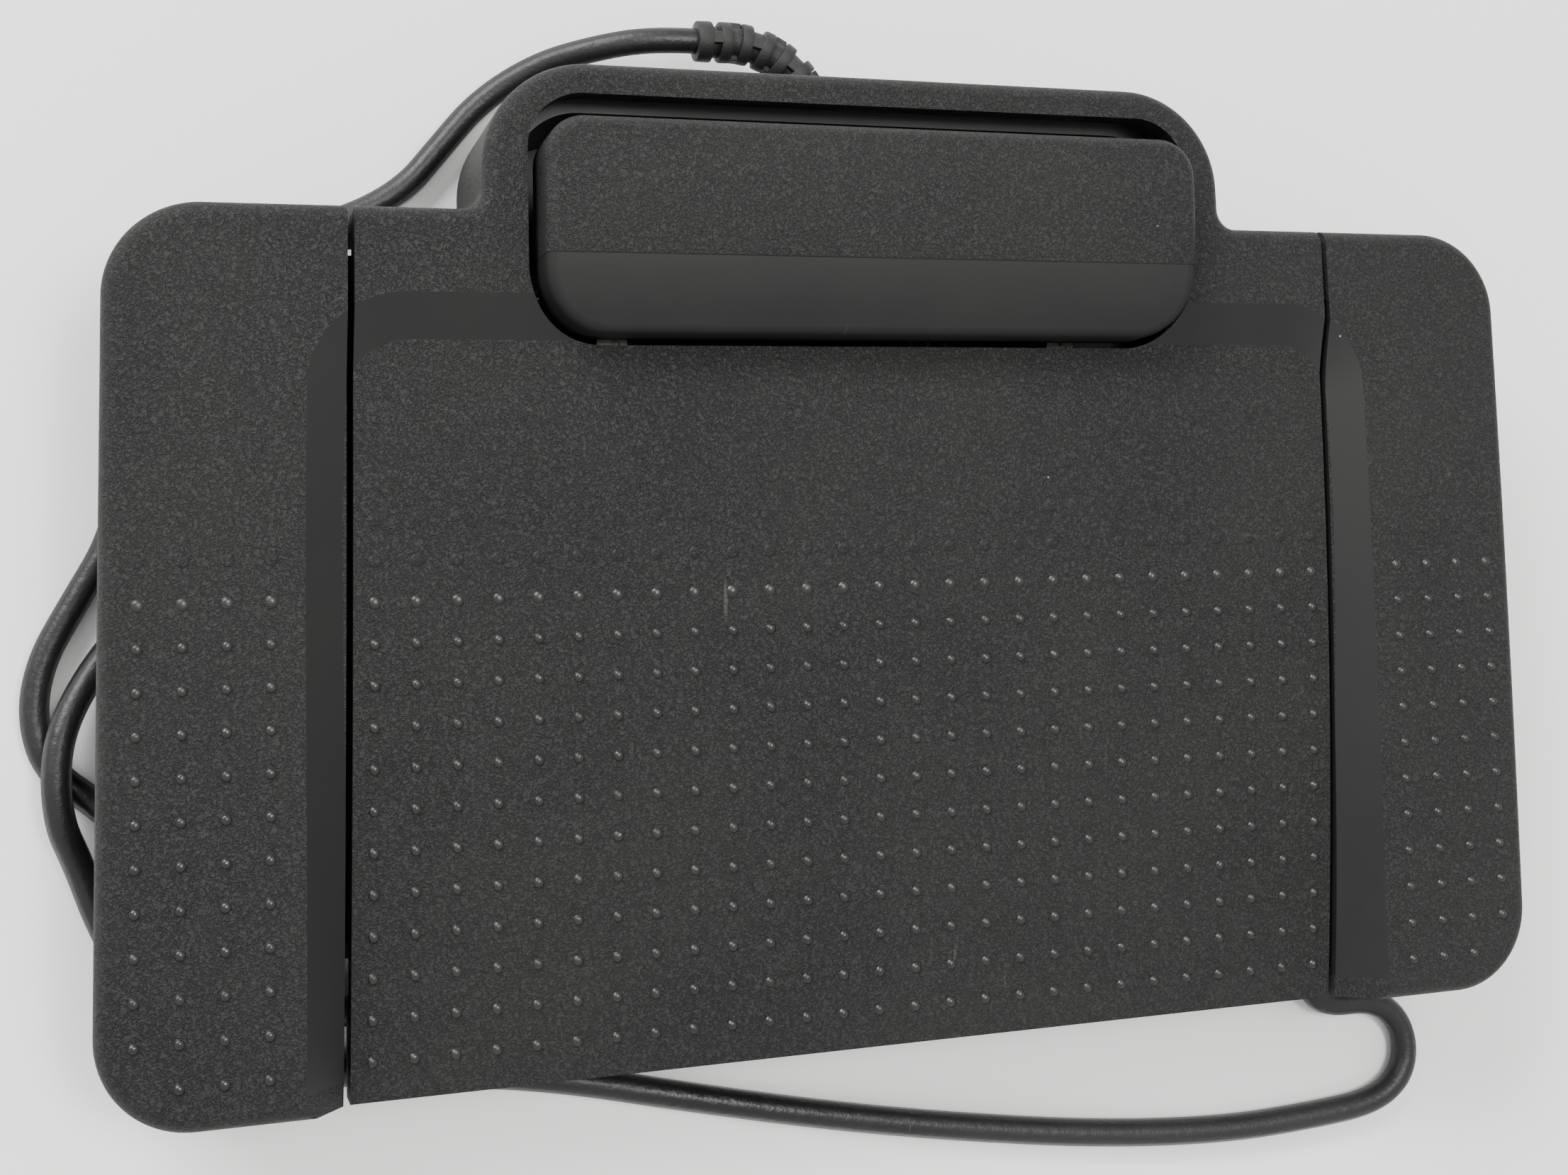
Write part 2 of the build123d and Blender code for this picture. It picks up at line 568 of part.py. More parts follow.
with BuildPart() as base_shell:
    extrude(base_plan(0), amount=60)
    add(slab(rim_z, 0, False), mode=Mode.INTERSECT)
    with BuildSketch(Plane.XY.offset(-1)):
        Rectangle(3 * FAR, 3 * FAR)
    extrude(amount=FLOOR_Z + 1, mode=Mode.SUBTRACT)
    cavity = extrude(Plane.XY.offset(INNER_Z) * base_plan(BASE_WALL), amount=60, mode=Mode.PRIVATE)
    add(cavity, mode=Mode.SUBTRACT)
    # the rear wall beside the hump stays low, under the hinge bosses
    for side in (-1, 1):
        near, far = sorted((side * (HUMP_HALF_WIDTH - WALL), side * LOW_WALL_END_X))
        add(
            strip_between(near, far, BASE_REAR_Z, 60, SHAFT_Y + 1.5, BASE_REAR + 1),
            mode=Mode.SUBTRACT,
        )
    for side in (-1, 1):
        add(post(side * CENTRE_SPRING[0], CENTRE_SPRING[1], CENTRE_SPRING[2] + 1.0, INNER_Z, SPRING_SEAT_Z))
        with Locations((side * (SIDE_SPRING[0] + 0.6), SIDE_SPRING[1], (INNER_Z + SPRING_SEAT_Z) / 2)):
            Box(7.0, 7.0, SPRING_SEAT_Z - INNER_Z)
        add(post(side * KEY_SPRING[0], KEY_SPRING[1], KEY_SPRING[2] + 1.0, INNER_Z, KEY_SEAT_Z))
        for x in (PLAIN_SADDLE_X, CLIP_SADDLE_X):
            with Locations((side * x, SHAFT_Y, (INNER_Z + SHAFT_Z) / 2)):
                Box(SADDLE, SADDLE_DEPTH, SHAFT_Z - INNER_Z)
        with Locations((side * (SHAFT_HALF - END_SADDLE / 4), SHAFT_Y, (INNER_Z + SHAFT_Z) / 2)):
            Box(END_SADDLE, SADDLE_DEPTH, SHAFT_Z - INNER_Z)
        near, far = sorted((side * (PIN_POST_X - PIN_POST), side * PIN_POST_X))
        with BuildSketch(Plane.YZ.offset(near)):
            with Locations((KEY_PIN_Y, KEY_PIN_Z)):
                Circle(PIN_BOSS_R)
            with Locations((KEY_PIN_Y, (INNER_Z + KEY_PIN_Z) / 2)):
                Rectangle(2 * PIN_BOSS_R, KEY_PIN_Z - INNER_Z)
        extrude(amount=far - near)
    for x, y in SCREWS_BOARD:
        add(post(x, y, BOARD_POST_R, INNER_Z, BOARD_Z))
    for x, y in SCREWS_BALLAST:
        add(post(x, y, SCREW_R + 0.6, INNER_Z - 0.2, INNER_Z))
    with Locations((EXIT_X, CLAMP_Y, (INNER_Z + EXIT_Z - EXIT_BLOCK) / 2)):
        Box(2 * CLAMP_HALF, 5.0, EXIT_Z - EXIT_BLOCK - INNER_Z)
    # bores: shaft, key pin, screws and the cord's way out
    with BuildSketch(Plane.YZ.offset(-SHAFT_HALF)):
        with Locations((SHAFT_Y, SHAFT_Z)):
            Circle(SHAFT_R)
    extrude(amount=2 * SHAFT_HALF, mode=Mode.SUBTRACT)
    with BuildSketch(Plane.YZ.offset(-PIN_POST_X - 1)):
        with Locations((KEY_PIN_Y, KEY_PIN_Z)):
            Circle(KEY_PIN_R)
    extrude(amount=2 * PIN_POST_X + 2, mode=Mode.SUBTRACT)
    for x, y in SCREWS_BOARD + SCREWS_BALLAST:
        add(post(x, y, SCREW_R, FLOOR_Z + 0.6, 12), mode=Mode.SUBTRACT)
    for side in (-1, 1):
        for y in CLIP_SCREWS_Y:
            add(post(side * CLIP_SADDLE_X, y, 2.6, INNER_Z, CLIP_FOOT_Z))
            add(post(side * CLIP_SADDLE_X, y, SCREW_R, SHAFT_Z - 9.0, SHAFT_Z + 2), mode=Mode.SUBTRACT)
    for x in CLAMP_SCREWS_X:
        add(post(x, CLAMP_Y, SCREW_R, INNER_Z + 1, EXIT_Z), mode=Mode.SUBTRACT)
    with BuildSketch(Plane.XZ.offset(1 - INNER_WALL_Y)):
        with Locations((EXIT_X, EXIT_Z)):
            Circle(RELIEF_R)
    extrude(amount=-(BASE_WALL + 2), mode=Mode.SUBTRACT)
    with BuildSketch(Plane.XZ.offset(-CLAMP_Y + 6)):
        with Locations((EXIT_X, EXIT_Z)):
            Circle(CORD_R)
    extrude(amount=-12, mode=Mode.SUBTRACT)
base_shell.part.label = "base_shell"
export_step(base_shell.part, "parts/base_shell.step")

with BuildPart() as rubber_sole:
    extrude(base_plan(SOLE_INSET), amount=SOLE_THICK)
rubber_sole.part.label = "rubber_sole"
export_step(rubber_sole.part, "parts/rubber_sole.step")

with BuildPart() as ballast_plate:
    with BuildSketch(Plane.XY.offset(INNER_Z)):
        with Locations((0, (BALLAST_FRONT + BALLAST_REAR) / 2)):
            RectangleRounded(2 * BALLAST_HALF_WIDTH, BALLAST_REAR - BALLAST_FRONT, 4)
        for x, y in SCREWS_BALLAST:
            with Locations((x, y)):
                Circle(SCREW_R + 0.2, mode=Mode.SUBTRACT)
        for side in (-1, 1):
            with Locations((side * CENTRE_SPRING[0], CENTRE_SPRING[1])):
                Circle(CENTRE_SPRING[2] + 1.5, mode=Mode.SUBTRACT)
    extrude(amount=BALLAST_THICK)
ballast_plate.part.label = "ballast_plate"
export_step(ballast_plate.part, "parts/ballast_plate.step")

with BuildPart() as hinge_shaft:
    with BuildSketch(Plane.YZ.offset(-SHAFT_HALF)):
        with Locations((SHAFT_Y, SHAFT_Z)):
            Circle(SHAFT_R)
    extrude(amount=2 * SHAFT_HALF)
hinge_shaft.part.label = "hinge_shaft"
export_step(hinge_shaft.part, "parts/hinge_shaft.step")

with BuildPart() as key_pin:
    with BuildSketch(Plane.YZ.offset(-KEY_EAR_X - KEY_EAR - 1)):
        with Locations((KEY_PIN_Y, KEY_PIN_Z)):
            Circle(KEY_PIN_R)
    extrude(amount=2 * (KEY_EAR_X + KEY_EAR + 1))
key_pin.part.label = "key_pin"
export_step(key_pin.part, "parts/key_pin.step")

with BuildPart() as shaft_clips:
    for side in (-1, 1):
        x = side * CLIP_SADDLE_X
        with BuildSketch(Plane.YZ.offset(x - SADDLE / 2)):
            with BuildLine():
                Polyline(
                    (SHAFT_Y - 10.6, CLIP_FOOT_Z), (SHAFT_Y + 10.6, CLIP_FOOT_Z),
                    (SHAFT_Y + 10.6, SHAFT_Z - 0.8), (SHAFT_Y + 4.0, SHAFT_Z + 3.4),
                    (SHAFT_Y - 4.0, SHAFT_Z + 3.4), (SHAFT_Y - 10.6, SHAFT_Z - 0.8), close=True,
                )
            make_face()
            with Locations((SHAFT_Y, CLIP_FOOT_Z)):
                Rectangle(2 * BOSS_R + 0.1, 4.0, mode=Mode.SUBTRACT)
            with Locations((SHAFT_Y, SHAFT_Z)):
                Circle(SHAFT_R, mode=Mode.SUBTRACT)
        extrude(amount=SADDLE)
        for y in CLIP_SCREWS_Y:
            add(post(x, y, SCREW_R + 0.1, SHAFT_Z - 3, SHAFT_Z + 4), mode=Mode.SUBTRACT)
            add(post(x, y, SCREW_HEAD_R + 0.2, SHAFT_Z - 0.8, SHAFT_Z + 4), mode=Mode.SUBTRACT)
shaft_clips.part.label = "shaft_clips"
export_step(shaft_clips.part, "parts/shaft_clips.step")


# ------------------------------------------------------------------ fasteners and pads
def screw(x, y, seat_z, length):
    """Pan-head screw with a cross recess, standing head up on seat_z."""
    with BuildPart() as pin:
        with BuildSketch(Plane.XY.offset(seat_z - length)):
            with Locations((x, y)):
                Circle(SCREW_R)
        extrude(amount=length)
        with BuildSketch(Plane.XY.offset(seat_z)):
            with Locations((x, y)):
                Circle(SCREW_HEAD_R)
        extrude(amount=SCREW_HEAD)
        with BuildSketch(Plane.XY.offset(seat_z + SCREW_HEAD - 0.7)):
            with Locations((x, y)):
                Rectangle(2.4, 0.5)
                Rectangle(0.5, 2.4)
        extrude(amount=1, mode=Mode.SUBTRACT)
    return pin.part


SCREW_GROUPS = {
    "board_screws": [(x, y, BOARD_Z + BOARD_THICK, 5.0) for x, y in SCREWS_BOARD],
    "ballast_screws": [(x, y, INNER_Z + BALLAST_THICK, 4.0) for x, y in SCREWS_BALLAST],
    "clip_screws": [
        (side * CLIP_SADDLE_X, y, SHAFT_Z - 0.8, 7.0)
        for side in (-1, 1) for y in CLIP_SCREWS_Y
    ],
    "clamp_screws": [(x, CLAMP_Y, EXIT_Z + CORD_R + 1.6, 7.0) for x in CLAMP_SCREWS_X],
}
for name, spots in SCREW_GROUPS.items():
    with BuildPart() as group:
        for x, y, seat_z, length in spots:
            add(screw(x, y, seat_z, length))
    group.part.label = name
    export_step(group.part, f"parts/{name}.step")

PEDAL_TRAVEL = math.radians(2.0)
PAD_R = 3.2
PAD_CLEAR = 0.05          # pad to the plate at full travel
with BuildPart() as stop_pads:
    for x, y in PAD_SPOTS:
        top = tray_z(y - PAD_R) - WALL - PAD_CLEAR - (SHAFT_Y - y + PAD_R) * PEDAL_TRAVEL
        add(post(x, y, PAD_R, INNER_Z + BALLAST_THICK, top))
stop_pads.part.label = "stop_pads"
export_step(stop_pads.part, "parts/stop_pads.step")

with BuildPart() as cord_clamp:
    with Locations((EXIT_X, CLAMP_Y, EXIT_Z + CORD_R / 2 + 0.8)):
        Box(2 * CLAMP_HALF, 5.0, CORD_R + 1.6)
    with BuildSketch(Plane.XZ.offset(-CLAMP_Y + 4)):
        with Locations((EXIT_X, EXIT_Z)):
            Circle(CORD_R)
    extrude(amount=-8, mode=Mode.SUBTRACT)
    for x in CLAMP_SCREWS_X:
        add(post(x, CLAMP_Y, SCREW_R + 0.1, EXIT_Z - 1, EXIT_Z + 6), mode=Mode.SUBTRACT)
cord_clamp.part.label = "cord_clamp"
export_step(cord_clamp.part, "parts/cord_clamp.step")

# ------------------------------------------------------------------ circuit board and switches
with BuildPart() as circuit_board:
    with BuildSketch(Plane.XY.offset(BOARD_Z)):
        with Locations((0, (BOARD_FRONT + BOARD_REAR) / 2)):
            Rectangle(2 * BOARD_HALF_WIDTH, BOARD_REAR - BOARD_FRONT)
        for x, y in SCREWS_BOARD:
            with Locations((x, y)):
                Circle(SCREW_R + 0.2, mode=Mode.SUBTRACT)
        for side in (-1, 1):
            with Locations((side * CLIP_SADDLE_X, SHAFT_Y - 8)):
                Circle(3.0, mode=Mode.SUBTRACT)
    extrude(amount=BOARD_THICK)
circuit_board.part.label = "circuit_board"
export_step(circuit_board.part, "parts/circuit_board.step")

BOARD_TOP = BOARD_Z + BOARD_THICK
SWITCHES = {
    "left": (-SIDE_SWITCH[0], SIDE_SWITCH[1]),
    "right": SIDE_SWITCH,
    "centre": CENTRE_SWITCH,
    "key": KEY_SWITCH,
}
for name, (x, y) in SWITCHES.items():
    wide, deep, tall = SWITCH_SIZE
    deep = min(deep, 2 * (BOARD_REAR - y))
    with BuildPart() as body:
        with Locations((x, y, BOARD_TOP + tall / 2)):
            Box(wide, deep, tall)
        fillet(body.edges().filter_by(Axis.Z), 0.4)
        add(
            post(x, y, PLUNGER_R + RUN_FIT, BOARD_TOP + tall - PLUNGER_IN - 1.2, BOARD_TOP + tall + 1),
            mode=Mode.SUBTRACT,
        )
    body.part.label = f"{name}_switch"
    export_step(body.part, f"parts/{name}_switch.step")
    with BuildPart() as plunger:
        add(post(x, y, PLUNGER_R, BOARD_TOP + tall - PLUNGER_IN, BOARD_TOP + tall + PLUNGER_OUT))
        fillet(plunger.edges().group_by(Axis.Z)[-1], 0.3)
    plunger.part.label = f"{name}_plunger"
    export_step(plunger.part, f"parts/{name}_plunger.step")

CONNECTOR_X = EXIT_X + 17
CONNECTOR_REAR = 28.6
with BuildPart() as board_connector:
    with Locations((CONNECTOR_X, CONNECTOR_REAR - 1.6, BOARD_TOP + 2.5)):
        Box(12.0, 5.0, 5.0)
    with Locations((CONNECTOR_X, CONNECTOR_REAR, BOARD_TOP + 3.4)):
        Box(10.4, 3.0, 3.6, mode=Mode.SUBTRACT)
board_connector.part.label = "board_connector"
export_step(board_connector.part, "parts/board_connector.step")


# ------------------------------------------------------------------ springs
def coil_spring(x, y, mean_radius, z0, z1):
    """A compression spring of round wire, from seat to seat."""
    pitch = (z1 - z0 - 2 * WIRE_R) / SPRING_TURNS
    with BuildPart() as spring:
        with BuildLine(Plane.XY.offset(z0 + WIRE_R)) as path:
            Helix(pitch, z1 - z0 - 2 * WIRE_R, mean_radius)
        start = path.line @ 0
        with BuildSketch(Plane(origin=start, z_dir=path.line % 0)):
            Circle(WIRE_R)
        sweep()
    return Pos(x, y, 0) * spring.part


springs = {}
for side, name in ((-1, "left"), (1, "right")):
    x, y, radius = SIDE_SPRING
    top = deck_z(y) - WALL - SIDE_CUP_DEPTH
    springs[f"{name}_pedal_spring"] = (side * x, y, radius, SPRING_SEAT_Z, top)
    x, y, radius = CENTRE_SPRING
    top = tray_z(y) - WALL - CUP_DEPTH
    springs[f"centre_spring_{name}"] = (side * x, y, radius, SPRING_SEAT_Z, top)
    x, y, radius = KEY_SPRING
    top = deck_z(y) + KEY_PROUD - KEY_WALL - 0.35
    springs[f"key_spring_{name}"] = (side * x, y, radius, KEY_SEAT_Z, top)
for name, (x, y, radius, z0, z1) in springs.items():
    with BuildPart() as spring:
        add(coil_spring(x, y, radius, z0 + 0.02, z1 - 0.05))
    spring.part.label = name
    export_step(spring.part, f"parts/{name}.step")


# ------------------------------------------------------------------ cord
def rounded_radii(points):
    """The largest bend at each corner that its two runs leave room for."""
    radii = []
    for before, corner, after in zip(points, points[1:], points[2:]):
        run_in = Vector(*corner) - Vector(*before)
        run_out = Vector(*after) - Vector(*corner)
        half_turn = math.radians(run_in.get_angle(run_out)) / 2
        radii.append(0.45 * min(run_in.length, run_out.length) / math.tan(half_turn))
    return radii


def cord_tube(points, radius):
    """A round tube along straight runs joined by tangent arcs."""
    radii = rounded_radii(points)
    with BuildPart() as tube:
        with BuildLine() as route:
            FilletPolyline(*points, radius=radii)
        with BuildSketch(Plane(origin=route.line @ 0, z_dir=route.line % 0)):
            Circle(radius)
        sweep(path=route.line)
    length = sum(edge.length for edge in route.edges())
    print("tube length", round(length, 1))
    return tube.part


FLOOR_CORD = CORD_R       # height of a cord that lies on the floor
OVER_CORD = FLOOR_CORD + CORD_D + 0.55
LOWER_STRAND = HANK_LIFT + CORD_R
UPPER_STRAND = HANK_LIFT + CORD_D + CORD_R

HANK_IN_X = HANK_X + HANK_HALF_WIDTH - CORD_R
HANK_OUT_X = HANK_X - HANK_UPPER_HALF + CORD_R

CORD_POINTS = [
    (RELIEF_END_X, RELIEF_Y, EXIT_Z),
    (-27.5, RELIEF_Y, EXIT_Z),
    (-36.0, RELIEF_Y - 1.2, 9.2),
    (-44.0, RELIEF_Y - 3.0, 5.0),
    (-52.5, RELIEF_Y - 8.4, FLOOR_CORD + 0.25),
    (-58.5, 64.5, FLOOR_CORD),
    (-64.0, 57.6, FLOOR_CORD),
    (-73.0, 52.5, FLOOR_CORD),
    (-84.0, 49.8, FLOOR_CORD),
    (-95.0, 46.0, FLOOR_CORD),
    (-101.5, 37.5, FLOOR_CORD),
    (-103.0, 26.0, FLOOR_CORD),
    (-104.0, 15.0, FLOOR_CORD),
    (-104.8, 6.5, FLOOR_CORD),
    (-110.5, -3.5, FLOOR_CORD),
    (-114.2, -10.5, FLOOR_CORD),
    (-115.3, -18.0, FLOOR_CORD),
    (-113.0, -25.5, FLOOR_CORD),
    (-105.8, -30.8, FLOOR_CORD),
    (-99.5, -37.5, FLOOR_CORD),
    (-96.5, -47.0, FLOOR_CORD),
    (-90.5, -56.0, FLOOR_CORD),
    (-80.0, -60.3, FLOOR_CORD),
    (-62.0, -61.8, FLOOR_CORD),
    (-36.0, -61.2, FLOOR_CORD),
    (0.0, -62.0, FLOOR_CORD),
    (40.0, -61.2, FLOOR_CORD),
    (74.0, -62.4, FLOOR_CORD),
    (92.0, -64.3, FLOOR_CORD),
    (108.2, -65.3, FLOOR_CORD),
    (117.0, -61.5, FLOOR_CORD + 0.35),
    (HANK_IN_X, -54.2, LOWER_STRAND),
    (HANK_IN_X, HANK_FRONT, LOWER_STRAND),
]
CORD_END_POINTS = [
    (HANK_OUT_X, HANK_FRONT, UPPER_STRAND),
    (HANK_OUT_X, -53.4, UPPER_STRAND),
    (89.8, -58.6, UPPER_STRAND - 0.05),
    (83.0, -62.5, UPPER_STRAND - 0.35),
    (79.2, -68.4, 4.6),
    (82.4, -74.6, FLOOR_CORD + 0.55),
    (93.6, -74.4, FLOOR_CORD),
    (98.8, -79.2, FLOOR_CORD),
    (98.4, -86.2, FLOOR_CORD),
    (92.6, -90.6, FLOOR_CORD),
    (80.0, -91.6, FLOOR_CORD),
    (64.0, -92.0, FLOOR_CORD),
    (42.0, -90.2, FLOOR_CORD),
    (16.0, -86.1, FLOOR_CORD),
    (-4.0, -82.2, FLOOR_CORD),
    (-24.0, -77.6, FLOOR_CORD),
    (-44.0, -72.6, FLOOR_CORD),
    (-62.0, -70.0, FLOOR_CORD),
    (-78.0, -68.5, FLOOR_CORD),
    (-92.0, -64.5, FLOOR_CORD),
    (-100.5, -56.5, FLOOR_CORD),
    (-106.0, -46.0, FLOOR_CORD + 0.55),
    (-108.8, -38.0, 4.0),
    (-111.6, -31.5, OVER_CORD),
    (-111.9, -21.5, OVER_CORD),
    (-108.2, -13.0, 4.4),
    (-102.0, -5.0, FLOOR_CORD + 0.35),
    (-96.0, 3.0, FLOOR_CORD + 0.55),
    (-92.0, 9.0, PLUG_R),
    (PLUG_X, PLUG_Y, PLUG_R),
]
for name, points in (("signal_cord", CORD_POINTS), ("signal_cord_end", CORD_END_POINTS)):
    with BuildPart() as cord:
        add(cord_tube(points, CORD_R))
    cord.part.label = name
    export_step(cord.part, f"parts/{name}.step")

with BuildPart() as strain_relief:
    with BuildLine() as bend:
        neck = Line((EXIT_X, FLANGE_Y, EXIT_Z), (EXIT_X, RELIEF_Y - RELIEF_BEND, EXIT_Z))
        turn = TangentArc(
            neck @ 1, (EXIT_X - RELIEF_BEND, RELIEF_Y, EXIT_Z), tangent=(0, 1, 0)
        )
        Line(turn @ 1, (RELIEF_END_X, RELIEF_Y, EXIT_Z))
    with BuildSketch(Plane(origin=bend.line @ 0, z_dir=bend.line % 0)):
        Circle(RELIEF_R)
    sweep(path=bend.line)
    with BuildSketch(Plane.XZ.offset(-FLANGE_Y)):
        with Locations((EXIT_X, EXIT_Z)):
            Circle(RELIEF_R + 1.2)
    extrude(amount=-(INNER_WALL_Y - FLANGE_Y))
strain_relief.part.label = "strain_relief"
export_step(strain_relief.part, "parts/strain_relief.step")

with BuildPart() as inner_lead:
    with BuildSketch(Plane.XZ.offset(-LEAD_END_Y)):
        with Locations((EXIT_X, EXIT_Z)):
            Circle(CORD_R)
    extrude(amount=-(FLANGE_Y - LEAD_END_Y))
inner_lead.part.label = "inner_lead"
export_step(inner_lead.part, "parts/inner_lead.step")

LEAD_R = 0.45
LEAD_PITCH = 1.45
with BuildPart() as lead_wires:
    for step in (-1, 0, 1):
        wire = [
            (EXIT_X + step * LEAD_PITCH, LEAD_END_Y, EXIT_Z),
            (EXIT_X + step * LEAD_PITCH, LEAD_END_Y - 6, EXIT_Z),
            (CONNECTOR_X + 2 * step * LEAD_PITCH, CONNECTOR_REAR + 7, BOARD_TOP + 2.4),
            (CONNECTOR_X + 2 * step * LEAD_PITCH, CONNECTOR_REAR, BOARD_TOP + 2.4),
        ]
        add(cord_tube(wire, LEAD_R))
lead_wires.part.label = "lead_wires"
export_step(lead_wires.part, "parts/lead_wires.step")


# ------------------------------------------------------------------ hank and its tie
def hank_layer(half, z0):
    """One layer of the wound cord as a closed block, flat where the two ends meet it."""
    with BuildPart() as layer:
        with BuildSketch(Plane.XY.offset(z0)):
            with Locations((HANK_X, (HANK_FRONT + HANK_REAR - HANK_HALF_WIDTH) / 2)):
                Rectangle(2 * half, HANK_REAR - HANK_HALF_WIDTH - HANK_FRONT)
            with Locations((HANK_X, HANK_REAR - HANK_HALF_WIDTH)):
                Circle(half)
        extrude(amount=CORD_D)
    return layer.part


with BuildPart() as cord_hank:
    add(hank_layer(HANK_HALF_WIDTH, HANK_LIFT))
    add(hank_layer(HANK_UPPER_HALF, HANK_LIFT + CORD_D))
cord_hank.part.label = "cord_hank"
export_step(cord_hank.part, "parts/cord_hank.step")


def hank_profile(grow):
    """Right half of the hank's stepped cross-section, as points (x, z)."""
    low, step, high = HANK_LIFT - grow, HANK_LIFT + CORD_D + grow, HANK_LIFT + 2 * CORD_D + grow
    wide, narrow = HANK_HALF_WIDTH + grow, HANK_UPPER_HALF + grow
    right = [(wide, low), (wide, step), (narrow, step), (narrow, high)]
    return right + [(-x, z) for x, z in reversed(right)]


with BuildPart() as hank_tie:
    with BuildSketch(Plane.XZ.offset(-TIE_Y + TIE_WIDTH / 2)):
        with Locations((HANK_X, 0)):
            Polygon(*hank_profile(TIE_THICK), align=None)
            Polygon(*hank_profile(0), align=None, mode=Mode.SUBTRACT)
    extrude(amount=-TIE_WIDTH)
hank_tie.part.label = "hank_tie"
export_step(hank_tie.part, "parts/hank_tie.step")

# ------------------------------------------------------------------ plug
GRIP_LENGTH = 16.0
SHELL_R = 4.0
SHELL_WALL = 0.4
SHELL_LENGTH = 9.5
INSERT_LENGTH = 3.0
PIN_R = 0.5
PIN_LENGTH = 7.5
PIN_CIRCLE_R = 2.1
PLUG_FACE_Y = PLUG_Y + GRIP_LENGTH


def along_plug(radius, y0, y1, hollow_radius=0.0, x=0.0, z=0.0):
    """A round piece along the plug's axis."""
    with BuildPart() as piece:
        with BuildSketch(Plane.XZ.offset(-y0)):
            with Locations((PLUG_X + x, PLUG_R + z)):
                Circle(radius)
                if hollow_radius:
                    Circle(hollow_radius, mode=Mode.SUBTRACT)
        extrude(amount=-(y1 - y0))
    return piece.part


with BuildPart() as plug_grip:
    add(along_plug(PLUG_R, PLUG_Y, PLUG_FACE_Y))
    fillet(plug_grip.edges().group_by(Axis.Y)[0], 1.6)
plug_grip.part.label = "plug_grip"
export_step(plug_grip.part, "parts/plug_grip.step")

with BuildPart() as plug_shell:
    add(along_plug(SHELL_R, PLUG_FACE_Y, PLUG_FACE_Y + SHELL_LENGTH, SHELL_R - SHELL_WALL))
plug_shell.part.label = "plug_shell"
export_step(plug_shell.part, "parts/plug_shell.step")

PIN_SPOTS = [
    (PIN_CIRCLE_R * math.cos(math.radians(a)), PIN_CIRCLE_R * math.sin(math.radians(a)))
    for a in range(0, 360, 60)
]
with BuildPart() as plug_insert:
    add(along_plug(SHELL_R - SHELL_WALL, PLUG_FACE_Y, PLUG_FACE_Y + INSERT_LENGTH))
    for x, z in PIN_SPOTS:
        add(along_plug(PIN_R, PLUG_FACE_Y, PLUG_FACE_Y + 10, x=x, z=z), mode=Mode.SUBTRACT)
plug_insert.part.label = "plug_insert"
export_step(plug_insert.part, "parts/plug_insert.step")

with BuildPart() as plug_pins:
    for x, z in PIN_SPOTS:
        add(along_plug(PIN_R, PLUG_FACE_Y, PLUG_FACE_Y + PIN_LENGTH, x=x, z=z))
plug_pins.part.label = "plug_pins"
export_step(plug_pins.part, "parts/plug_pins.step")
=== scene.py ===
import json
import math

import bmesh
import bpy
from mathutils import Matrix, Vector
from mathutils.bvhtree import BVHTree


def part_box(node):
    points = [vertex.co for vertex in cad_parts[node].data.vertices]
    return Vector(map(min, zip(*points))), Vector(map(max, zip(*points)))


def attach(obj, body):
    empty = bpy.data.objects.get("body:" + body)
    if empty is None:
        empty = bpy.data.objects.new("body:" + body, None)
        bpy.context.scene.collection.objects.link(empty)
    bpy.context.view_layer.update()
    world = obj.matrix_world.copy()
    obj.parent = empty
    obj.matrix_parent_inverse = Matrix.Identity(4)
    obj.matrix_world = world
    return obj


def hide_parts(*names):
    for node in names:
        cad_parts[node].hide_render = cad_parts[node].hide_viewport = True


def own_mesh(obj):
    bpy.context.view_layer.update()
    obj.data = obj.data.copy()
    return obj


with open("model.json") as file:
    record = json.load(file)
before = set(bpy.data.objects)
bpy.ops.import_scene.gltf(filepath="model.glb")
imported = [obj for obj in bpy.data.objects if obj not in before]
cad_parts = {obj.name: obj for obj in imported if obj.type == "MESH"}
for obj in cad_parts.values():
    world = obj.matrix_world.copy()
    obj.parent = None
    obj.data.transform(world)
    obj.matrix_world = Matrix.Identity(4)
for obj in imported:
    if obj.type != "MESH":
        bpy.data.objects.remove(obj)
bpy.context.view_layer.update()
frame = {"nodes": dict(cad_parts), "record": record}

MM = 0.001
nodes = frame["nodes"]


# ---------------------------------------------------------------- camera
CAMERA_AT = (-0.0995, -0.0087, 0.29305)
CAMERA_BACK = (-0.30664, -0.14381, 0.94090)
CAMERA_UP = (-0.00753, 0.98886, 0.14868)
SENSOR_WIDTH = 36
FOCAL_LENGTH = 44.81
LENS_SHIFT_Y = -0.1605
NEAREST_SEEN = 0.01


def add_camera():
    """A camera above the left of the pedals, looking down and a little to the right."""
    back = Vector(CAMERA_BACK).normalized()
    right = Vector(CAMERA_UP).cross(back).normalized()
    up = back.cross(right)
    data = bpy.data.cameras.new("camera")
    data.sensor_width = SENSOR_WIDTH
    data.lens = FOCAL_LENGTH
    data.shift_y = LENS_SHIFT_Y
    data.clip_start = NEAREST_SEEN
    camera = bpy.data.objects.new("camera", data)
    turn = Matrix((right, up, back)).transposed().to_4x4()
    camera.matrix_world = Matrix.Translation(Vector(CAMERA_AT)) @ turn
    bpy.context.collection.objects.link(camera)
    bpy.context.scene.camera = camera


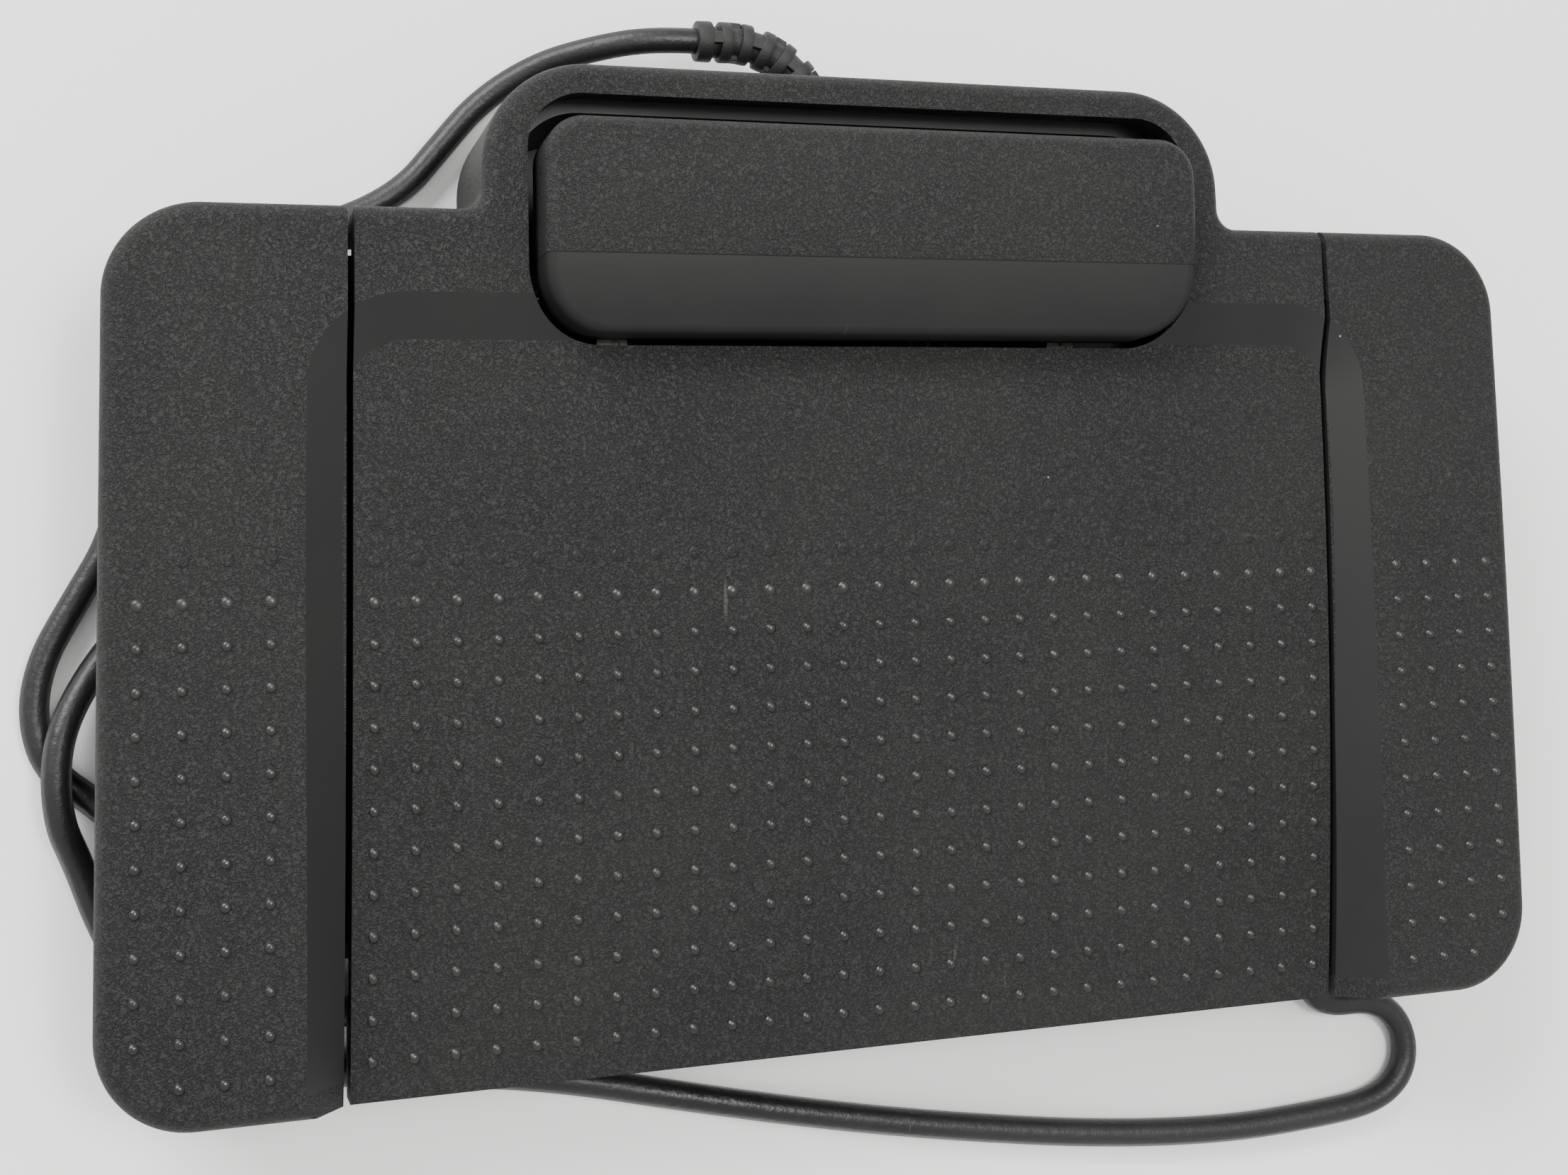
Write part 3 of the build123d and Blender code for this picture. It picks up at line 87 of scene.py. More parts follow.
# ---------------------------------------------------------------- material tools
def node_group(name, inputs, outputs):
    """A shader node group with named sockets; returns the tree and its two end nodes."""
    tree = bpy.data.node_groups.new(name, "ShaderNodeTree")
    for title, kind, value in inputs:
        socket = tree.interface.new_socket(title, in_out="INPUT", socket_type=kind)
        if value is not None:
            socket.default_value = value
    for title, kind in outputs:
        tree.interface.new_socket(title, in_out="OUTPUT", socket_type=kind)
    return tree, tree.nodes.new("NodeGroupInput"), tree.nodes.new("NodeGroupOutput")


def math_node(tree, operation, first, second=None):
    """A sum on numbers or outputs; returns its output."""
    node = tree.nodes.new("ShaderNodeMath")
    node.operation = operation
    for socket, value in zip(node.inputs, (first, second)):
        if value is None:
            continue
        if isinstance(value, (int, float)):
            socket.default_value = value
        else:
            tree.links.new(value, socket)
    return node.outputs[0]


def times(tree, first, second):
    return math_node(tree, "MULTIPLY", first, second)


def plus(tree, first, second):
    return math_node(tree, "ADD", first, second)


def map_range(tree, value, low, high, to_low=0.0, to_high=1.0):
    """A soft step from one value to another as the input goes from low to high."""
    node = tree.nodes.new("ShaderNodeMapRange")
    node.interpolation_type = "SMOOTHSTEP"
    tree.links.new(value, node.inputs["Value"])
    node.inputs["From Min"].default_value = low
    node.inputs["From Max"].default_value = high
    node.inputs["To Min"].default_value = to_low
    node.inputs["To Max"].default_value = to_high
    return node.outputs["Result"]


def noise(tree, vector, scale, detail=2.0, roughness=0.5, distortion=0.0):
    """Cloudy noise; the scale is a number or an output."""
    node = tree.nodes.new("ShaderNodeTexNoise")
    tree.links.new(vector, node.inputs["Vector"])
    if isinstance(scale, (int, float)):
        node.inputs["Scale"].default_value = scale
    else:
        tree.links.new(scale, node.inputs["Scale"])
    node.inputs["Detail"].default_value = detail
    node.inputs["Roughness"].default_value = roughness
    node.inputs["Distortion"].default_value = distortion
    return node.outputs["Fac"]


FOLD_WIDTH = 0.16
PEBBLES_PER_WRINKLE = 2.4
PEBBLE_SHARE = 0.8
CREST_HEIGHTS = (1.05, 1.45)


def make_grain_group():
    """Moulded leather grain: short wrinkles over fine pebbles, and a mask of the grain's high points where a
    painted glint goes.
    """
    tree, start, end = node_group(
        "moulded_grain",
        [("Vector", "NodeSocketVector", None), ("Size", "NodeSocketFloat", 1000.0)],
        [("Height", "NodeSocketFloat"), ("GlintCrests", "NodeSocketFloat")],
    )
    wrinkles = noise(tree, start.outputs["Vector"], start.outputs["Size"], 2.5, 0.55, 0.9)
    folded = math_node(tree, "ABSOLUTE", math_node(tree, "SUBTRACT", wrinkles, 0.5))
    ridges = map_range(tree, folded, 0.0, FOLD_WIDTH, 1.0, 0.0)
    fine_size = times(tree, start.outputs["Size"], PEBBLES_PER_WRINKLE)
    pebbles = noise(tree, start.outputs["Vector"], fine_size, 1.0, 0.5)
    height = plus(tree, ridges, times(tree, pebbles, PEBBLE_SHARE))
    # mask of the grain's crests, which the materials paint with a lighter glint colour (painted highlight)
    glint_crests = map_range(tree, height, *CREST_HEIGHTS)
    tree.links.new(height, end.inputs["Height"])
    tree.links.new(glint_crests, end.inputs["GlintCrests"])
    return tree


MOTTLING_SCALE = 28.0
SPECK_SCALE = 260.0
SPECK_EDGE = (0.02, 0.05)
SPECK_CHANCE = 0.055
SCRATCH_TURN = 0.9
SCRATCH_STRETCH = (900.0, 90.0, 300.0)
SCRATCH_PATCH_SCALE = 45.0


def make_use_group():
    """Signs of use: broad mottling, sparse dust specks and faint short scratches."""
    tree, start, end = node_group(
        "signs_of_use",
        [("Vector", "NodeSocketVector", None), ("Dust", "NodeSocketFloat", 0.5)],
        [("Mottling", "NodeSocketFloat"), ("Specks", "NodeSocketFloat"), ("Marks", "NodeSocketFloat")],
    )
    vector = start.outputs["Vector"]
    dust = start.outputs["Dust"]
    mottling = map_range(tree, noise(tree, vector, MOTTLING_SCALE, 4.0, 0.6), 0.3, 0.7)
    cells = tree.nodes.new("ShaderNodeTexVoronoi")
    cells.inputs["Scale"].default_value = SPECK_SCALE
    tree.links.new(vector, cells.inputs["Vector"])
    near = map_range(tree, cells.outputs["Distance"], *SPECK_EDGE, 1.0, 0.0)
    split = tree.nodes.new("ShaderNodeSeparateColor")
    tree.links.new(cells.outputs["Color"], split.inputs["Color"])
    chosen = math_node(tree, "LESS_THAN", split.outputs["Red"], SPECK_CHANCE)
    specks = times(tree, times(tree, near, chosen), dust)
    stretch = tree.nodes.new("ShaderNodeMapping")
    stretch.inputs["Rotation"].default_value = (0.0, 0.0, SCRATCH_TURN)
    stretch.inputs["Scale"].default_value = SCRATCH_STRETCH
    tree.links.new(vector, stretch.inputs["Vector"])
    strokes = map_range(tree, noise(tree, stretch.outputs["Vector"], 1.0, 1.0, 0.4), 0.70, 0.78)
    patches = map_range(tree, noise(tree, vector, SCRATCH_PATCH_SCALE, 1.0), 0.60, 0.72)
    marks = times(tree, times(tree, strokes, patches), dust)
    tree.links.new(mottling, end.inputs["Mottling"])
    tree.links.new(specks, end.inputs["Specks"])
    tree.links.new(marks, end.inputs["Marks"])
    return tree


GRAIN = make_grain_group()
USE = make_use_group()


class Finish:
    """A material being put together: a Principled shader with Object coordinates at hand."""

    def __init__(self, name, roughness, metallic=0.0, **sockets):
        self.material = bpy.data.materials.new(name)
        self.material.use_nodes = True
        self.tree = self.material.node_tree
        self.shader = self.tree.nodes["Principled BSDF"]
        self.shader.inputs["Roughness"].default_value = roughness
        self.shader.inputs["Metallic"].default_value = metallic
        for title, value in sockets.items():
            self.shader.inputs[title.replace("_", " ")].default_value = value
        self.place = self.tree.nodes.new("ShaderNodeTexCoord").outputs["Object"]

    def group(self, tree, **values):
        """A node group placed in the material with its own values; returns its outputs."""
        node = self.tree.nodes.new("ShaderNodeGroup")
        node.node_tree = tree
        self.tree.links.new(self.place, node.inputs["Vector"])
        for title, value in values.items():
            node.inputs[title].default_value = value
        return node.outputs

    def blend(self, share, first, second):
        """A colour between two colours or colour outputs."""
        node = self.tree.nodes.new("ShaderNodeMix")
        node.data_type = "RGBA"
        self.tree.links.new(share, node.inputs["Factor"])
        for socket, value in ((node.inputs["A"], first), (node.inputs["B"], second)):
            if isinstance(value, tuple):
                socket.default_value = (*value, 1.0)
            else:
                self.tree.links.new(value, socket)
        return node.outputs["Result"]

    def colour(self, output):
        self.tree.links.new(output, self.shader.inputs["Base Color"])

    def rough(self, output):
        self.tree.links.new(output, self.shader.inputs["Roughness"])

    def bump(self, height, distance, strength=1.0):
        """Height as relief on the surface; the distance is in metres."""
        node = self.tree.nodes.new("ShaderNodeBump")
        node.inputs["Distance"].default_value = distance
        node.inputs["Strength"].default_value = strength
        self.tree.links.new(height, node.inputs["Height"])
        self.tree.links.new(node.outputs["Normal"], self.shader.inputs["Normal"])

    def axis(self, name):
        node = self.tree.nodes.new("ShaderNodeSeparateXYZ")
        self.tree.links.new(self.place, node.inputs[0])
        return node.outputs[name]


DUST_COLOUR = (0.5, 0.49, 0.46)
# painted glint: a lighter colour on the grain's crests stands in for small specular highlights
CREST_GLINT_COLOUR = (0.044, 0.0450, 0.0445)
SCRATCH_COLOUR = (0.17, 0.165, 0.155)
GRAIN_SIZE = 1500.0
GRAIN_DEPTH = 0.00012
CREST_GLINT_SHARE = 0.35
SCRATCH_SHARE = 0.35
SATIN = 0.50
SATIN_SPREAD = 0.06


def grained_plastic(name, dark, light, smooth_dark, mask_of, dust=0.6):
    """Black plastic with leather grain where mask_of says so and plain elsewhere, with a painted glint on
    the grain's crests.
    """
    finish = Finish(name, 0.6, Specular_IOR_Level=0.26)
    tree = finish.tree
    grain = finish.group(GRAIN, Size=GRAIN_SIZE)
    use = finish.group(USE, Dust=dust)
    grained = mask_of(finish)
    glint_crests = times(tree, grain["GlintCrests"], grained)
    base = finish.blend(use["Mottling"], dark, light)
    plain = finish.blend(use["Mottling"], smooth_dark, light)
    colour = finish.blend(grained, plain, base)
    # painted highlight: the grain's crests are lightened as if they caught glints
    colour = finish.blend(times(tree, glint_crests, CREST_GLINT_SHARE), colour, CREST_GLINT_COLOUR)
    colour = finish.blend(use["Specks"], colour, DUST_COLOUR)
    colour = finish.blend(times(tree, use["Marks"], SCRATCH_SHARE), colour, SCRATCH_COLOUR)
    finish.colour(colour)
    wear = times(tree, use["Mottling"], SATIN_SPREAD)
    level = plus(tree, times(tree, grained, SATIN_SPREAD), SATIN)
    finish.rough(plus(tree, level, wear))
    fine = noise(tree, finish.place, 5200.0, 1.0)
    shallow = times(tree, fine, 0.10)
    deep = times(tree, grain["Height"], grained)
    finish.bump(plus(tree, deep, shallow), GRAIN_DEPTH)
    return finish.material


FLAT_ENOUGH = 0.962
TRAY_HALF_WIDTH = 81.5 * MM
TRAY_REAR = 37.6 * MM
TRAY_FRONT = -66.5 * MM


def off_the_slopes(finish):
    """Grain apart from the sloped band and strips round the tray."""
    tree = finish.tree
    normal = tree.nodes.new("ShaderNodeNewGeometry").outputs["True Normal"]
    split = tree.nodes.new("ShaderNodeSeparateXYZ")
    tree.links.new(normal, split.inputs[0])
    flat = math_node(tree, "GREATER_THAN", split.outputs["Z"], FLAT_ENOUGH)
    from_middle = math_node(tree, "ABSOLUTE", finish.axis("X"))
    outside = math_node(tree, "GREATER_THAN", from_middle, TRAY_HALF_WIDTH)
    behind = math_node(tree, "GREATER_THAN", finish.axis("Y"), TRAY_REAR)
    ahead = math_node(tree, "LESS_THAN", finish.axis("Y"), TRAY_FRONT)
    edges = math_node(tree, "MAXIMUM", math_node(tree, "MAXIMUM", outside, behind), ahead)
    return math_node(tree, "MAXIMUM", flat, edges)


KEY_RIDGE = 41.6 * MM
RIDGE_BLEND = 0.1 * MM


def behind_the_ridge(finish):
    """Grain on the key's flat top, none on its front slope."""
    return map_range(finish.tree, finish.axis("Y"), KEY_RIDGE - RIDGE_BLEND, KEY_RIDGE + RIDGE_BLEND)


RUBBER_DUST = (0.45, 0.44, 0.42)
RUBBER_SCUFF = (0.2, 0.2, 0.19)


def worn_rubber(name, dark, light, roughness, size, depth, dust=0.5):
    """Black rubber or soft vinyl, slightly uneven, with dust and scuffs."""
    finish = Finish(name, roughness, Specular_IOR_Level=0.38)
    tree = finish.tree
    use = finish.group(USE, Dust=dust)
    colour = finish.blend(use["Mottling"], dark, light)
    colour = finish.blend(use["Specks"], colour, RUBBER_DUST)
    colour = finish.blend(times(tree, use["Marks"], 0.5), colour, RUBBER_SCUFF)
    finish.colour(colour)
    span = times(tree, use["Mottling"], 0.14)
    scuffed = times(tree, use["Marks"], 0.2)
    finish.rough(plus(tree, plus(tree, span, scuffed), roughness - 0.07))
    finish.bump(noise(tree, finish.place, size, 3.0, 0.6), depth)
    return finish.material


def metal(name, dark, light, roughness, lines_per_metre):
    """Plated or drawn steel with fine lines along one axis and dull patches."""
    finish = Finish(name, roughness, 1.0)
    tree = finish.tree
    stretch = tree.nodes.new("ShaderNodeMapping")
    stretch.inputs["Scale"].default_value = lines_per_metre
    tree.links.new(finish.place, stretch.inputs["Vector"])
    lines = noise(tree, stretch.outputs["Vector"], 1.0, 2.0, 0.6)
    use = finish.group(USE, Dust=0.3)
    finish.colour(finish.blend(times(tree, use["Mottling"], 0.8), light, dark))
    spread = times(tree, lines, 0.22)
    finish.rough(plus(tree, spread, roughness - 0.1))
    finish.bump(lines, 0.00002, 0.6)
    return finish.material


LACQUER_DARK = (0.016, 0.030, 0.016)
LACQUER_LIGHT = (0.022, 0.040, 0.021)
TRACK_COLOUR = (0.034, 0.058, 0.026)
TRACK_SCALE = 55.0
TRACK_WANDER = 6.0


def laminate(name):
    """Dark green lacquered board with paler tracks showing through."""
    finish = Finish(name, 0.45)
    tree = finish.tree
    use = finish.group(USE, Dust=0.2)
    wires = tree.nodes.new("ShaderNodeTexWave")
    wires.inputs["Scale"].default_value = TRACK_SCALE
    wires.inputs["Distortion"].default_value = TRACK_WANDER
    wires.inputs["Detail"].default_value = 1.0
    tree.links.new(finish.place, wires.inputs["Vector"])
    tracks = map_range(tree, wires.outputs["Fac"], 0.44, 0.56)
    colour = finish.blend(use["Mottling"], LACQUER_DARK, LACQUER_LIGHT)
    finish.colour(finish.blend(times(tree, tracks, 0.5), colour, TRACK_COLOUR))
    finish.bump(tracks, 0.00004, 0.5)
    return finish.material


def moulded(name, dark, light, roughness):
    """Plain moulded plastic with a fine satin texture."""
    finish = Finish(name, roughness)
    tree = finish.tree
    use = finish.group(USE, Dust=0.4)
    colour = finish.blend(use["Mottling"], dark, light)
    finish.colour(finish.blend(use["Specks"], colour, DUST_COLOUR))
    finish.rough(plus(tree, times(tree, use["Mottling"], 0.1), roughness - 0.05))
    finish.bump(noise(tree, finish.place, 4200.0, 2.0, 0.6), 0.00004)
    return finish.material


def pale_floor():
    """White paper, a little uneven."""
    finish = Finish("pale_floor", 0.75, Specular_IOR_Level=0.2)
    shade = map_range(finish.tree, noise(finish.tree, finish.place, 3.0, 3.0), 0.3, 0.7)
    finish.colour(finish.blend(shade, (0.93, 0.93, 0.92), (0.96, 0.96, 0.955)))
    return finish.material


DARK = (0.0078, 0.0079, 0.0078)
LIGHT = (0.0125, 0.0126, 0.0122)
PEDAL_SLOPE_DARK = (0.0095, 0.0108, 0.0100)
KEY_SLOPE_DARK = (0.0085, 0.0098, 0.0090)
MATERIALS = {
    "pedal_plastic": grained_plastic("pedal_plastic", DARK, LIGHT, PEDAL_SLOPE_DARK, off_the_slopes),
    "key_plastic": grained_plastic("key_plastic", DARK, LIGHT, KEY_SLOPE_DARK, behind_the_ridge),
    "dot_plastic": moulded(
        "dot_plastic", dark=(0.0110, 0.0112, 0.0108), light=(0.017, 0.0172, 0.0166), roughness=0.27
    ),
    "base_plastic": moulded(
        "base_plastic", dark=(0.013, 0.013, 0.014), light=(0.019, 0.019, 0.0195), roughness=0.5
    ),
    "rubber": worn_rubber(
        "moulded_rubber", dark=(0.018, 0.018, 0.019), light=(0.03, 0.03, 0.03), roughness=0.75,
        size=2400.0, depth=0.0001,
    ),
    "zinc_steel": metal(
        "zinc_steel", dark=(0.42, 0.40, 0.34), light=(0.62, 0.61, 0.56), roughness=0.42,
        lines_per_metre=(160.0, 2400.0, 2400.0),
    ),
    "bright_steel": metal(
        "bright_steel", dark=(0.55, 0.55, 0.56), light=(0.74, 0.74, 0.75), roughness=0.25,
        lines_per_metre=(200.0, 3000.0, 3000.0),
    ),
    "screw_steel": metal(
        "screw_steel", dark=(0.46, 0.44, 0.38), light=(0.66, 0.65, 0.6), roughness=0.36,
        lines_per_metre=(2200.0, 2200.0, 600.0),
    ),
    "spring_steel": metal(
        "spring_steel", dark=(0.3, 0.3, 0.31), light=(0.52, 0.52, 0.53), roughness=0.34,
        lines_per_metre=(1800.0, 1800.0, 1800.0),
    ),
    "circuit_board": laminate("circuit_board"),
    "switch_body": moulded(
        "switch_body", dark=(0.03, 0.03, 0.033), light=(0.05, 0.05, 0.053), roughness=0.4
    ),
    "switch_plunger": moulded(
        "switch_plunger", dark=(0.55, 0.53, 0.46), light=(0.68, 0.66, 0.58), roughness=0.42
    ),
    "connector_plastic": moulded(
        "connector_plastic", dark=(0.6, 0.58, 0.5), light=(0.72, 0.70, 0.62), roughness=0.4
    ),
    "wire_insulation": moulded(
        "wire_insulation", dark=(0.30, 0.03, 0.025), light=(0.42, 0.05, 0.04), roughness=0.38
    ),
    "cord_jacket": worn_rubber(
        "cord_jacket", dark=(0.0095, 0.0100, 0.0102), light=(0.0150, 0.0155, 0.0155), roughness=0.40,
        size=900.0, depth=0.00012, dust=1.0,
    ),
    "relief_rubber": worn_rubber(
        "relief_rubber", dark=(0.0125, 0.0130, 0.0130), light=(0.0190, 0.0195, 0.0190), roughness=0.6,
        size=3000.0, depth=0.00006,
    ),
    "tie_plastic": worn_rubber(
        "tie_plastic", dark=(0.02, 0.02, 0.021), light=(0.034, 0.034, 0.034), roughness=0.7,
        size=3600.0, depth=0.0001,
    ),
    "plug_plastic": worn_rubber(
        "plug_plastic", dark=(0.02, 0.02, 0.021), light=(0.03, 0.03, 0.031), roughness=0.5,
        size=3600.0, depth=0.00005,
    ),
    "plug_metal": metal(
        "plug_metal", dark=(0.6, 0.6, 0.6), light=(0.8, 0.8, 0.79), roughness=0.2,
        lines_per_metre=(2000.0, 200.0, 2000.0),
    ),
    "plug_insert_plastic": moulded(
        "plug_insert_plastic", dark=(0.03, 0.03, 0.03), light=(0.045, 0.045, 0.045), roughness=0.4
    ),
    "contact_metal": metal(
        "contact_metal", dark=(0.55, 0.42, 0.2), light=(0.78, 0.62, 0.32), roughness=0.25,
        lines_per_metre=(2000.0, 300.0, 2000.0),
    ),
}


def dress_cad_nodes():
    """Each CAD node gets the finish of its material slot."""
    for entry in frame["record"]["subparts"]:
        mesh = nodes[entry["node"]].data
        mesh.materials.clear()
        mesh.materials.append(MATERIALS[entry["material_slot"]])


# ---------------------------------------------------------------- pieces
def place(name, bm, slot, body="base", material=None):
    """A bmesh in millimetres becomes a piece that rides on a body."""
    bmesh.ops.scale(bm, vec=(MM, MM, MM), verts=bm.verts)
    mesh = bpy.data.meshes.new(name)
    bm.to_mesh(mesh)
    bm.free()
    mesh.shade_smooth()
    piece = bpy.data.objects.new(name, mesh)
    mesh.materials.append(MATERIALS[material or slot])
    bpy.context.collection.objects.link(piece)
    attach(piece, body)
    return piece


def sharp_edges(mesh, degrees=35):
    """Shade smooth but keep real corners crisp."""
    mesh.set_sharp_from_angle(angle=math.radians(degrees))


DOT_PITCH_X = 5.5
DOT_PITCH_Y = 5.459
DOT_RADIUS = 0.72
DOT_HEIGHT = 0.42
DOT_ROWS = 14
FADING_ROWS = 4
FAINT_ROWS = 2
SIDE_SHIFT_Y = 0.58
DOT_MIDDLE_Y = -29.0
SIDE_COLUMNS = 4
SIDE_FIRST_X = 84.97
CORNER_KEEP = 99.0
CENTRE_COLUMNS = 27
DOME_CUT = 0.02
SKIRT_SPREAD = 1.4
SKIRT_DROP = 0.30
LEVEL_ENOUGH = 0.97
DROP_HEIGHT = 0.1


def dot_template():
    """A low dome, one unit in radius and height, with a skirt that sinks into the surface."""
    bm = bmesh.new()
    bmesh.ops.create_uvsphere(bm, u_segments=12, v_segments=8, radius=1.0)
    geometry = bm.verts[:] + bm.edges[:] + bm.faces[:]
    bmesh.ops.bisect_plane(
        bm, geom=geometry, plane_co=(0, 0, DOME_CUT), plane_no=(0, 0, 1), clear_inner=True
    )
    rim = [edge for edge in bm.edges if edge.is_boundary]
    skirt = bmesh.ops.extrude_edge_only(bm, edges=rim)["geom"]
    low = [v for v in skirt if isinstance(v, bmesh.types.BMVert)]
    bmesh.ops.scale(bm, vec=(SKIRT_SPREAD, SKIRT_SPREAD, 1.0), verts=low)
    bmesh.ops.translate(bm, vec=(0, 0, -SKIRT_DROP), verts=low)
    mesh = bpy.data.meshes.new("dot_template")
    bm.to_mesh(mesh)
    bm.free()
    return mesh


def surface_under(node):
    """The CAD node's surface as a tree for dropping things on from above."""
    mesh = node.data
    mesh.calc_loop_triangles()
    corners = [v.co.copy() for v in mesh.vertices]
    faces = [tuple(t.vertices) for t in mesh.loop_triangles]
    return BVHTree.FromPolygons(corners, faces)


def add_dots(name, body, columns, shift_y, template, rows, finish):
    """Rows of raised dots standing square on a pedal's surface, the rear rows fading out."""
    surface = surface_under(nodes[body])
    down = Vector((0, 0, -1))
    bm = bmesh.new()
    for row in rows:
        fade = min(1.0, (DOT_ROWS - row) / FADING_ROWS)
        wide = DOT_RADIUS * (2.0 - fade) ** 0.5
        y = (row - (DOT_ROWS - 1) / 2) * DOT_PITCH_Y + DOT_MIDDLE_Y + shift_y
        for x in columns:
            if row == 0 and abs(x) > CORNER_KEEP:
                continue
            spot, normal = surface.ray_cast(Vector((x * MM, y * MM, DROP_HEIGHT)), down)[:2]
            if spot is None or normal.z < LEVEL_ENOUGH:
                continue
            before = len(bm.verts)
            bm.from_mesh(template)
            bm.verts.ensure_lookup_table()
            added = bm.verts[before:]
            size = Matrix.Diagonal((wide, wide, DOT_HEIGHT * fade, 1.0))
            turn = Vector((0, 0, 1)).rotation_difference(normal).to_matrix().to_4x4()
            bmesh.ops.transform(bm, matrix=Matrix.Translation(spot / MM) @ turn @ size, verts=added)
    return place(name, bm, "pedal_plastic", body, finish)


def add_all_dots():
    """Each pedal's dots: crisp glossy ones, and the faint rear rows in the pedal's own plastic."""
    template = dot_template()
    centre = [DOT_PITCH_X * (i - CENTRE_COLUMNS // 2) for i in range(CENTRE_COLUMNS)]
    right = [SIDE_FIRST_X + DOT_PITCH_X * i for i in range(SIDE_COLUMNS)]
    left = [-x for x in right]
    crisp = range(DOT_ROWS - FAINT_ROWS)
    faint = range(DOT_ROWS - FAINT_ROWS, DOT_ROWS)
    groups = (("centre", centre, 0.0), ("right", right, SIDE_SHIFT_Y), ("left", left, SIDE_SHIFT_Y))
    for pedal, columns, shift_y in groups:
        body = f"{pedal}_pedal"
        add_dots(f"{pedal}_dots", body, columns, shift_y, template, crisp, "dot_plastic")
        add_dots(f"{pedal}_faint_dots", body, columns, shift_y, template, faint, "pedal_plastic")
    bpy.data.meshes.remove(template)


# ---------------------------------------------------------------- signal cord
CORD_RADIUS = 2.05
ON_FLOOR = CORD_RADIUS
RELIEF_END = (-20.5, 80.2, 12.0)
HANK_X = 105.4
HANK_REAR_CENTRE = 33.75
HANK_FRONT_CENTRE = -28.0
CLIMB_CENTRE = -23.5
LOW = 2.85
HIGH = 6.95
OUTER, MIDDLE, INNER = 16.2, 12.1, 8.0

TO_HANK = [
    RELIEF_END, (-27.5, 80.2, 12.0), (-36.0, 79.0, 9.2), (-44.0, 77.2, 5.0), (-52.5, 71.8, 2.3),
    (-58.5, 64.5, ON_FLOOR), (-64.0, 57.6, ON_FLOOR), (-73.0, 52.5, ON_FLOOR), (-84.0, 49.8, ON_FLOOR),
    (-95.0, 46.0, ON_FLOOR), (-101.5, 37.5, ON_FLOOR), (-103.0, 26.0, ON_FLOOR), (-104.0, 15.0, ON_FLOOR),
    (-104.8, 6.5, ON_FLOOR), (-110.5, -3.5, ON_FLOOR), (-114.2, -10.5, ON_FLOOR), (-115.3, -18.0, ON_FLOOR),
    (-113.0, -25.5, ON_FLOOR), (-105.8, -30.8, ON_FLOOR), (-99.5, -37.5, ON_FLOOR), (-96.5, -47.0, ON_FLOOR),
    (-90.5, -56.0, ON_FLOOR), (-80.0, -60.3, ON_FLOOR), (-62.0, -61.8, ON_FLOOR), (-36.0, -61.2, ON_FLOOR),
    (0.0, -62.0, ON_FLOOR), (40.0, -61.2, ON_FLOOR), (74.0, -62.4, ON_FLOOR), (92.0, -64.3, ON_FLOOR),
    (108.2, -65.3, ON_FLOOR), (117.0, -61.5, 2.4), (121.6, -54.2, LOW), (121.6, -38.0, LOW),
]
FROM_HANK = [
    (93.3, -46.2, HIGH), (93.3, -53.4, HIGH), (89.8, -58.6, 6.9), (83.0, -62.5, 6.6),
    (79.2, -68.4, 4.6), (82.4, -74.6, 2.6), (93.6, -74.4, ON_FLOOR), (98.8, -79.2, ON_FLOOR),
    (98.4, -86.2, ON_FLOOR), (92.6, -90.6, ON_FLOOR), (80.0, -91.6, ON_FLOOR), (64.0, -92.0, ON_FLOOR),
    (42.0, -90.2, ON_FLOOR), (16.0, -86.1, ON_FLOOR), (-4.0, -82.2, ON_FLOOR), (-24.0, -77.6, ON_FLOOR),
    (-44.0, -72.6, ON_FLOOR), (-62.0, -70.0, ON_FLOOR), (-78.0, -68.5, ON_FLOOR), (-92.0, -64.5, ON_FLOOR),
    (-100.5, -56.5, ON_FLOOR), (-106.0, -46.0, 2.6), (-108.8, -38.0, 4.0), (-111.6, -31.5, 6.7),
    (-111.9, -21.5, 6.7), (-108.2, -13.0, 4.4), (-102.0, -5.0, 2.4), (-96.0, 3.0, 2.6),
    (-92.0, 9.0, 5.0), (-92.0, 14.0, 5.0),
]


STRAND_STARTS = (4.0, 2.0)
CLIMB = (LOW, 4.2, 6.2, HIGH)
HALF_STEP = math.radians(22.5)


def hank_turns():
    """The wound part: three turns below, from the outside in, and two above, from the inside out."""
    strands = [(OUTER, LOW), (-OUTER, LOW), (MIDDLE, LOW), (-MIDDLE, LOW), (INNER, LOW), (-INNER, LOW)]
    strands += [(INNER, HIGH), (-INNER, HIGH), (MIDDLE, HIGH), (-MIDDLE, HIGH)]
    points = []
    for index, (offset, level) in enumerate(strands):
        points.append((HANK_X + offset, STRAND_STARTS[index % 2], level))
        if index == len(strands) - 1:
            break
        ahead = 1 if index % 2 == 0 else -1
        following, next_level = strands[index + 1]
        centre_y = HANK_REAR_CENTRE if ahead > 0 else HANK_FRONT_CENTRE
        if level != next_level:
            centre_y = CLIMB_CENTRE
        middle = HANK_X + (offset + following) / 2
        radius = abs(offset - following) / 2
        corner = radius / math.cos(HALF_STEP)
        side = 1 if offset > following else -1
        run_back = radius * math.tan(HALF_STEP) * ahead
        points.append((HANK_X + offset, centre_y - run_back, level))
        for step in range(4):
            angle = HALF_STEP * (1 + 2 * step)
            height = CLIMB[step] if level != next_level else level
            x = middle + side * corner * math.cos(angle)
            points.append((x, centre_y + ahead * corner * math.sin(angle), height))
        points.append((HANK_X + following, centre_y - run_back, next_level))
    return points


